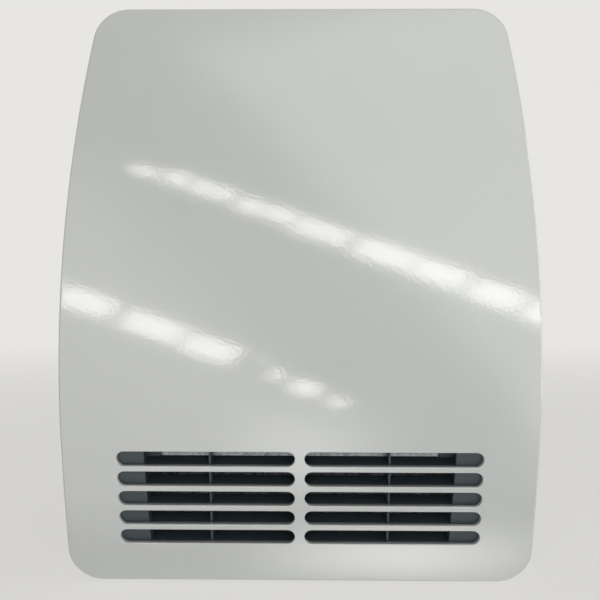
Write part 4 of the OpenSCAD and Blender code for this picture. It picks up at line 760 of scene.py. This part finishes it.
def screws(node, seats, out):
    """Screws in a node's place, each with its head's underside on a seat and facing `out`."""
    low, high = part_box(node)
    length = abs((high - low).dot(out)) - HEAD_HEIGHT
    stand = out.to_track_quat("Z", "Y").to_matrix()
    made, shape_faces = screw_shape(length)
    points, faces = [], []
    for number, seat in enumerate(seats):
        turned = stand @ Matrix.Rotation(0.5 + 1.3 * number, 3, "Z")
        faces += [tuple(i + len(points) for i in face) for face in shape_faces]
        points += [turned @ p + Vector(seat) for p in made]
    piece = piece_from(node + "_pan_head", points, faces, "zinc_steel")
    piece.data.set_sharp_from_angle(angle=DRAWN_SHARP)
    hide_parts(node)


DOWN, TO_RIGHT = Vector((0, 0, -1)), Vector((1, 0, 0))
screws("cover_screws", [(x, -71 * MM, -300 * MM) for x in (-120 * MM, 120 * MM)], DOWN)
screws("bracket_lock_screw", [(0, -4.5 * MM, -297.8 * MM)], DOWN)
screws("control_panel_screws", [(160 * MM, -35.5 * MM, z) for z in (-34 * MM, 118 * MM)], TO_RIGHT)
print("screws on three nodes")

# %% [markdown]
# ## Prints on the control panel
#
# The panel faces +X. Each dial has a ring of fine lines and numbers, printed on the plastic in
# white ink: degrees for the thermostat, and minutes for the booster timer. The lines could be
# painted in a texture, but then their edges would depend on its resolution, so they are thin
# meshes a few hundredths of a millimetre thick. The places come from the joints themselves: the
# lines lie round the joint's position, from its lowest angle to its highest.

# %% Dial prints
INK = 0.04 * MM
MINOR_HALF, MAJOR_HALF, LINE_HALF_WIDTH = 0.5 * MM, 0.9 * MM, 0.14 * MM
NUMBER_SIZE, NUMBER_REACH = 2.9 * MM, 3.6 * MM
TO_SIDE = Matrix(((0, 0, 1), (1, 0, 0), (0, 1, 0)))
panel_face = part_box("control_panel")[1].x


def ink_bars(name, bars, place, turn, body="heater"):
    """Flat bars given by (middle, direction, half length, half width) in a print's own plane."""
    points, faces = [], []
    for (x, y), (u, v), half_long, half_wide in bars:
        start = len(points)
        for height in (0, INK):
            for a, b in ((-1, -1), (1, -1), (1, 1), (-1, 1)):
                points.append(Vector((x + u * a * half_long - v * b * half_wide,
                                      y + v * a * half_long + u * b * half_wide, height)))
        low, high = list(range(start, start + 4)), list(range(start + 4, start + 8))
        faces += bridge(low, high) + [tuple(high), tuple(reversed(low))]
    points = [turn @ p + place for p in points]
    piece = piece_from(name, points, faces, "ceramic_white", body, finish=print_finish)
    piece.data.set_sharp_from_angle(angle=DRAWN_SHARP)


def ink_text(name, text, place):
    curve = bpy.data.curves.new(name, "FONT")
    curve.body, curve.size, curve.extrude = text, NUMBER_SIZE, INK / 2
    curve.align_x = curve.align_y = "CENTER"
    thing = bpy.data.objects.new(name, curve)
    thing.matrix_world = Matrix.Translation(place) @ TO_SIDE.to_4x4()
    finished(thing, "ceramic_white", finish=print_finish)


def joint_named(name):
    return next(joint for joint in frame["joints"] if joint["name"] == name)


def dial(control, labels, steps, ring):
    """Lines outside a ring about a knob, and a number at each longer one."""
    joint = joint_named(control + "_turn")
    first, last = (math.radians(limit) for limit in joint["range_deg"])
    centre = Vector(joint["pos_m"])
    centre.x = panel_face
    gaps = len(labels) - 1
    bars = []
    for i in range(steps + 1):
        angle = first + (last - first) * i / steps
        way = (math.sin(angle), math.cos(angle))
        half = MINOR_HALF if i % (steps // gaps) else MAJOR_HALF
        bars.append(((way[0] * (ring + half), way[1] * (ring + half)), way, half, LINE_HALF_WIDTH))
    ink_bars(control + "_dial_lines", bars, centre, TO_SIDE)
    for i, label in enumerate(labels):
        angle = first + (last - first) * i / gaps
        reach = ring + NUMBER_REACH
        offset = Vector((INK / 2, math.sin(angle) * reach, math.cos(angle) * reach))
        ink_text(f"{control}_dial_{label}", label, centre + offset)


dial("thermostat", ["5", "10", "15", "20", "25", "30"], 25, 17.6 * MM)
dial("timer", ["0", "10", "20", "30", "40", "50", "60"], 30, 16.0 * MM)
print("dials printed on x =", round(panel_face / MM, 2), "mm")

# %% [markdown]
# ## Pointers and switch marks
#
# A white bar in the groove of each knob shows where it points, and the rocker carries a bar for
# on and a ring for off. These ride on the bodies of the knobs and the rocker, so they turn and
# tip with them. The rocker's two faces are tilted. A ray sent at the rocker from the side tells
# where it meets a face and which way that face looks, so each mark lies flat on its own face.

# %% Pointers and marks
GROOVE_DEPTH, POINTER_DROP = 0.75 * MM, 7.0 * MM
POINTER = ((0, 0), (0, 1), 2.6 * MM, 0.55 * MM)
ON_BAR, ON_DROP = ((0, 0), (0, 1), 1.7 * MM, 0.25 * MM), 4.6 * MM
OFF_RADIUS, OFF_RISE, OFF_PARTS = 1.7 * MM, 4.9 * MM, 24
OFF_HALF_LENGTH, OFF_HALF_WIDTH = 0.24 * MM, 0.22 * MM

for control in ("thermostat", "timer"):
    low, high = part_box(control + "_knob")
    groove = Vector((high.x - GROOVE_DEPTH, (low.y + high.y) / 2, high.z - POINTER_DROP))
    ink_bars(control + "_pointer", [POINTER], groove, TO_SIDE, control)


def flat_on(node, y, z):
    """The place where a ray along -X meets a node, and the turn that lays a print on it."""
    mesh = nodes[node].data
    shape = BVHTree.FromPolygons([v.co for v in mesh.vertices], [f.vertices for f in mesh.polygons])
    point, out, _, _ = shape.ray_cast(Vector((1, y, z)), Vector((-1, 0, 0)))
    across = Vector((0, 1, 0))
    print("mark at", [round(v / MM, 2) for v in point], "facing", [round(v, 2) for v in out])
    return point, Matrix((across, out.cross(across), out)).transposed()


tip = Vector(joint_named("rocker_tip")["pos_m"])
ink_bars("rocker_on_bar", [ON_BAR],
         *flat_on("power_switch_rocker", tip.y, tip.z - ON_DROP), "rocker")
ring_angles = [2 * math.pi * (i + 0.5) / OFF_PARTS for i in range(OFF_PARTS)]
ring_bars = [((OFF_RADIUS * math.cos(a), OFF_RADIUS * math.sin(a)), (-math.sin(a), math.cos(a)),
              OFF_HALF_LENGTH, OFF_HALF_WIDTH) for a in ring_angles]
ink_bars("rocker_off_ring", ring_bars,
         *flat_on("power_switch_rocker", tip.y, tip.z + OFF_RISE), "rocker")
print("pointers and marks ride on", ["thermostat", "timer", "rocker"])

# %% [markdown]
# ## The net of the dust filter
#
# The filter under the intake grille is a frame with a fine woven net. The CAD solid has the
# frame's bars. The net between them is a thin sheet, a grid with a slight sag in each row of
# windows, and its threads are two crossed sets of bands in its material.

# %% Filter net
NET_COLUMNS, NET_LINES = 96, 16
WINDOWS_ACROSS, WINDOWS_DEEP = 24, 4
NET_MARGIN, NET_SAG, NET_HALF = 1 * MM, 0.25 * MM, 0.15 * MM


def filter_net():
    low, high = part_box("dust_filter")
    middle = (low.z + high.z) / 2
    points, faces = [], []
    for side in (1, -1):
        start = len(points)
        for j in range(NET_LINES + 1):
            for i in range(NET_COLUMNS + 1):
                u, v = i / NET_COLUMNS, j / NET_LINES
                sag = NET_SAG * abs(math.sin(math.pi * WINDOWS_ACROSS * u)
                                    * math.sin(math.pi * WINDOWS_DEEP * v))
                points.append(Vector((low.x + NET_MARGIN + u * (high.x - low.x - 2 * NET_MARGIN),
                                      low.y + NET_MARGIN + v * (high.y - low.y - 2 * NET_MARGIN),
                                      middle - sag + side * NET_HALF)))
        for j in range(NET_LINES):
            for i in range(NET_COLUMNS):
                a = start + j * (NET_COLUMNS + 1) + i
                quad = (a, a + 1, a + NET_COLUMNS + 2, a + NET_COLUMNS + 1)
                faces.append(quad if side > 0 else quad[::-1])
    return piece_from("filter_net", points, faces, "filter_mesh", finish=net_finish)


net = filter_net()
print("net faces:", len(net.data.polygons))

# %% [markdown]
# ## The camera
#
# The photograph was taken from about half a metre in front of the cover, a little above its
# middle, looking slightly down. A camera was fitted to the outline and to the slots, and its
# place, its three turns and its focal length are written here as that fit gave them. It is made
# before the lamps, because they are hung by what it sees.

# %% Camera
PITCH, YAW, ROLL = -0.029, 0.010, 0.002
STAND = Vector((5.4 * MM, -658 * MM, -48.4 * MM))
PICTURE = 600
camera_data = bpy.data.cameras.new("camera")
camera_data.sensor_width, camera_data.lens = 36.0, 39.9
camera = bpy.data.objects.new("camera", camera_data)
camera.location = STAND
camera_turn = (Matrix.Rotation(YAW, 3, "Z") @ Matrix.Rotation(math.pi / 2 + PITCH, 3, "X")
               @ Matrix.Rotation(ROLL, 3, "Z"))
camera.rotation_mode = "QUATERNION"
camera.rotation_quaternion = camera_turn.to_quaternion()
link(camera)
bpy.context.scene.camera = camera
bpy.context.scene.view_settings.view_transform = "Standard"
PIXELS = camera_data.lens / camera_data.sensor_width * PICTURE
print("focal length in pixels of the picture:", round(PIXELS, 1))

# %% [markdown]
# ## The floor and the world
#
# The heater stands on a plain pale floor. Under a low camera a floor ends in a horizon, so its
# rim fades out and the pale world shows instead. The floor receives the heater's shadow but casts
# none of its own, so that low lamps can light the cover, and it stays out of reflections. The
# world looks pale to the camera and in reflections, and gives all else a low even light.

# %% Floor
PALE = (0.86, 0.85, 0.83)
FADE_START, FADE_END, FLOOR_RADIUS = 0.5, 2.4, 2.6


def fading_floor():
    finish = Finish("pale_floor")
    spread = finish.node("VectorMath", {"operation": "LENGTH"}, {0: finish.place()}, out="Value")
    fade = finish.node("MapRange", {"interpolation_type": "SMOOTHSTEP"},
                       {"Value": spread, "From Min": FADE_START, "From Max": FADE_END})
    speckle = finish.noise(3 * MM, 2.0)
    tint = finish.mixed(speckle, rgb(PALE), rgb(tuple(c * 0.97 for c in PALE)))
    floor = finish.node("BsdfPrincipled", {}, {"Base Color": tint, "Roughness": 0.8,
                                               "Specular IOR Level": 0.2})
    glow = finish.node("Emission", {}, {"Color": rgb(PALE), "Strength": 0.92})
    shown = finish.node("LightPath", out="Is Camera Ray") * 0.75
    lifted = finish.node("MixShader", {}, {0: shown, 1: floor, 2: glow})
    clear = finish.node("BsdfTransparent")
    finish.end("Material", finish.node("MixShader", {}, {0: fade, 1: lifted, 2: clear}))
    return finish.material


def disc(name, radius, height, rings=24, spokes=96):
    """A flat disc of rings that lie closer together near its middle."""
    points = [Vector((0, 0, 0))]
    faces = [(0, 1 + i, 1 + (i + 1) % spokes) for i in range(spokes)]
    for ring in range(1, rings + 1):
        points += circle(radius * (ring / rings) ** 1.5, 0, spokes)
    for first in range(1, 1 + (rings - 1) * spokes, spokes):
        inner = range(first, first + spokes)
        faces += bridge([i + spokes for i in inner], inner)
    mesh = bpy.data.meshes.new(name)
    mesh.from_pydata([tuple(p) for p in points], [], faces)
    mesh.materials.append(fading_floor())
    made = bpy.data.objects.new(name, mesh)
    made.location.z = height
    link(made)
    return made


floor = disc("floor", FLOOR_RADIUS, cad_low.z - 0.1 * MM)
floor.visible_shadow = floor.visible_glossy = False
floor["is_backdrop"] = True
print("floor at", round(floor.location.z / MM, 1), "mm")

# %% World
world = bpy.data.worlds.new("plain_room")
bpy.context.scene.world = world
world.use_nodes = True
room = Graph(world.node_tree)
seen = sum((room.node("LightPath", out=ray) for ray in ("Is Glossy Ray", "Is Transmission Ray")),
           room.node("LightPath", out="Is Camera Ray"))
even = room.node("Background", {}, {"Color": rgb((0.97, 0.985, 1.0)), "Strength": 0.05})
pale = room.node("Background", {}, {"Color": rgb((0.80, 0.79, 0.77))})
room.end("World", room.node("MixShader", {}, {0: seen, 1: even, 2: pale}))
print("world nodes:", len(world.node_tree.nodes))

# %% [markdown]
# ## Lamps that are hung by their reflections
#
# The long slanting highlights on the cover are mirrored rows of short ceiling lamps. To hang a
# lamp so that its reflection shows at a chosen point of the picture, a ray is sent from the
# camera through that point. Where it meets the bow, it is mirrored about the bow's normal, and
# the lamp hangs where it then meets a plane two metres in front. Moving lamps by hand until they
# look right would take many tries.

# %% Where a reflection comes from
LAMP_PLANE = -2.0


def mirrored(px, py):
    """The place in the lamps' plane that the cover mirrors at a point of the picture."""
    ray = camera_turn @ Vector(((px - PICTURE / 2) / PIXELS, (PICTURE / 2 - py) / PIXELS, -1))
    eye = Vector((STAND.y - BOW_AXIS, STAND.z - BOW_MIDDLE))
    way = Vector((ray.y, ray.z))
    half = eye.dot(way)
    under_root = half ** 2 - way.length_squared * (eye.length_squared - BOW_RADIUS ** 2)
    point = STAND + ray * ((-half - math.sqrt(under_root)) / way.length_squared)
    out = ray.reflect(bow_normal(point.z))
    return point + out * ((LAMP_PLANE - point.y) / out.y)


print("the middle of the picture mirrors", [round(v, 2) for v in mirrored(300, 300)])

# %% Lamps with crisp edges
def lamp(name, place, aim, size, radiance, tilt=0.0):
    """A rectangular lamp whose brightness is `radiance` however large it is."""
    data = bpy.data.lights.new(name, "AREA")
    data.shape = "RECTANGLE"
    data.size, data.size_y = size
    data.energy = radiance * math.pi * size[0] * size[1]
    thing = bpy.data.objects.new(name, data)
    thing.location = place
    look = (Vector(aim) - Vector(place)).to_track_quat("-Z", "Y")
    thing.rotation_mode = "QUATERNION"
    thing.rotation_quaternion = look @ Matrix.Rotation(tilt, 3, "Z").to_quaternion()
    thing.visible_camera = False
    link(thing)
    return data


def lamp_row(name, radiance, row):
    """Lamps in a row, each with its reflection's x and y in the picture, length, width and tilt."""
    for number, (px, py, long, wide, tilt) in enumerate(row):
        place = mirrored(px, py)
        lamp(f"{name}_{number}", place, (place.x, 0, place.z), (long, wide), radiance, tilt)


lamp_row("high_lamp", 7.6, [(322, 231.5, 0.225, 0.110, -0.54), (384, 254, 0.232, 0.126, -0.55),
                            (440, 274, 0.212, 0.128, -0.55), (497, 295.5, 0.215, 0.130, -0.55),
                            (553, 317, 0.215, 0.130, -0.55)])
lamp_row("far_lamp", 8.4, [(145, 171, 0.115, 0.056, -0.50), (178, 178.5, 0.092, 0.086, -0.50),
                           (204, 188, 0.088, 0.088, -0.50), (225, 194.5, 0.068, 0.084, -0.50),
                           (251, 206, 0.098, 0.088, -0.50), (280, 215, 0.104, 0.090, -0.52)])
lamp_row("low_lamp", 7.5, [(22, 277, 0.225, 0.128, -0.55), (86, 302, 0.230, 0.128, -0.55),
                           (153, 327, 0.240, 0.130, -0.55), (211, 349, 0.215, 0.130, -0.55)])
lamp_row("end_lamp", 8.5, [(266, 360, 0.030, 0.024, -0.50), (275.5, 375, 0.060, 0.056, -0.55),
                           (306, 388, 0.115, 0.086, -0.55), (337.5, 402.4, 0.075, 0.056, -0.55)])
lamp("overhead_box", (0, -0.35, 1.9), (0, -0.1, -0.3), (1.5, 1.2), 0.6)
lamp("left_box", (-2.1, -0.7, 0.2), (0, -0.07, -0.05), (1.0, 1.5), 0.6)
lamp("right_box", (2.2, -0.6, 0.1), (0, -0.07, -0.05), (0.9, 1.6), 5.0)
lamp("rear_box", (-0.7, 1.8, 1.0), (0, 0, 0), (1.3, 1.0), 0.9)

# %% [markdown]
# ## The light and dark parts of the room
#
# Behind the short lamps the cover also mirrors the room, as wide parts that are lighter or darker
# and run into each other. Several large lamps would hide one another and show their edges. One
# lamp as wide as the room does it all, because a lamp can have a graph like a material's: the
# Parametric output runs from 0 to 1 across it, and each light part is a rectangle on it whose
# edges fade. The parts are placed by their reflections again.

# %% Room glow
def light_part(glow, spot, middle, size, tilt, fade):
    """1 in a tilted rectangle round `middle`, and 0 outside it; `fade` is its soft share."""
    inside = glow.node("Mapping", {"vector_type": "TEXTURE"},
                       {"Vector": spot, "Location": middle, "Rotation": (0, 0, tilt),
                        "Scale": (size[0] / 2, size[1] / 2, 1)})
    level = 1.0
    for axis in "XY":
        away = glow.node("Math", {"operation": "ABSOLUTE"},
                         {0: glow.node("SeparateXYZ", {}, {0: inside}, out=axis)})
        level = glow.node("MapRange", {"interpolation_type": "SMOOTHSTEP"},
                          {"Value": 1.0 - away, "From Max": fade}) * level
    return level


def room_glow(place, size, parts):
    """One wide lamp with lighter parts: level, soft share, and where and how large each one is."""
    data = lamp("room_glow", place, (place[0], 0, place[2]), size, 1.0)
    data.use_nodes = True
    glow = Graph(data.node_tree)
    corner = (place[0] - size[0] / 2, place[2] - size[1] / 2, 0)
    spot = glow.node("Mapping", {}, {"Vector": glow.node("NewGeometry", out="Parametric"),
                                     "Location": corner, "Scale": (*size, 1)})
    total = 0.0
    for level, fade, (px, py, long, wide, tilt) in parts:
        middle = mirrored(px, py)
        part = light_part(glow, spot, (middle.x, middle.z, 0), (long, wide), tilt, fade)
        total = part * level + total
    glow.end("Light", glow.node("Emission", {}, {"Color": total}))


room_glow((0, LAMP_PLANE - 0.05, 0.0), (6.0, 6.0), [
    (1.35, 0.3, (604, 200, 4.2, 2.0, -1.08)),
    (1.00, 0.5, (34, 366, 3.4, 2.0, -1.10)),
    (1.80, 1.0, (312, 455, 1.0, 1.2, 0.0)),
    (0.40, 1.0, (300, 0, 4.0, 2.6, 0.0)),
    (4.30, 1.0, (398, 560, 1.9, 1.1, 0.0)),
    (1.00, 1.0, (606, 420, 0.9, 1.6, 0.0))])
print("room glow wired")

# %% How far the pieces reach past the CAD box
low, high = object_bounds()
print("grew by (mm):", [round((a - b) / MM, 2) for a, b in zip(cad_low, low)],
      [round((a - b) / MM, 2) for a, b in zip(high, cad_high)])
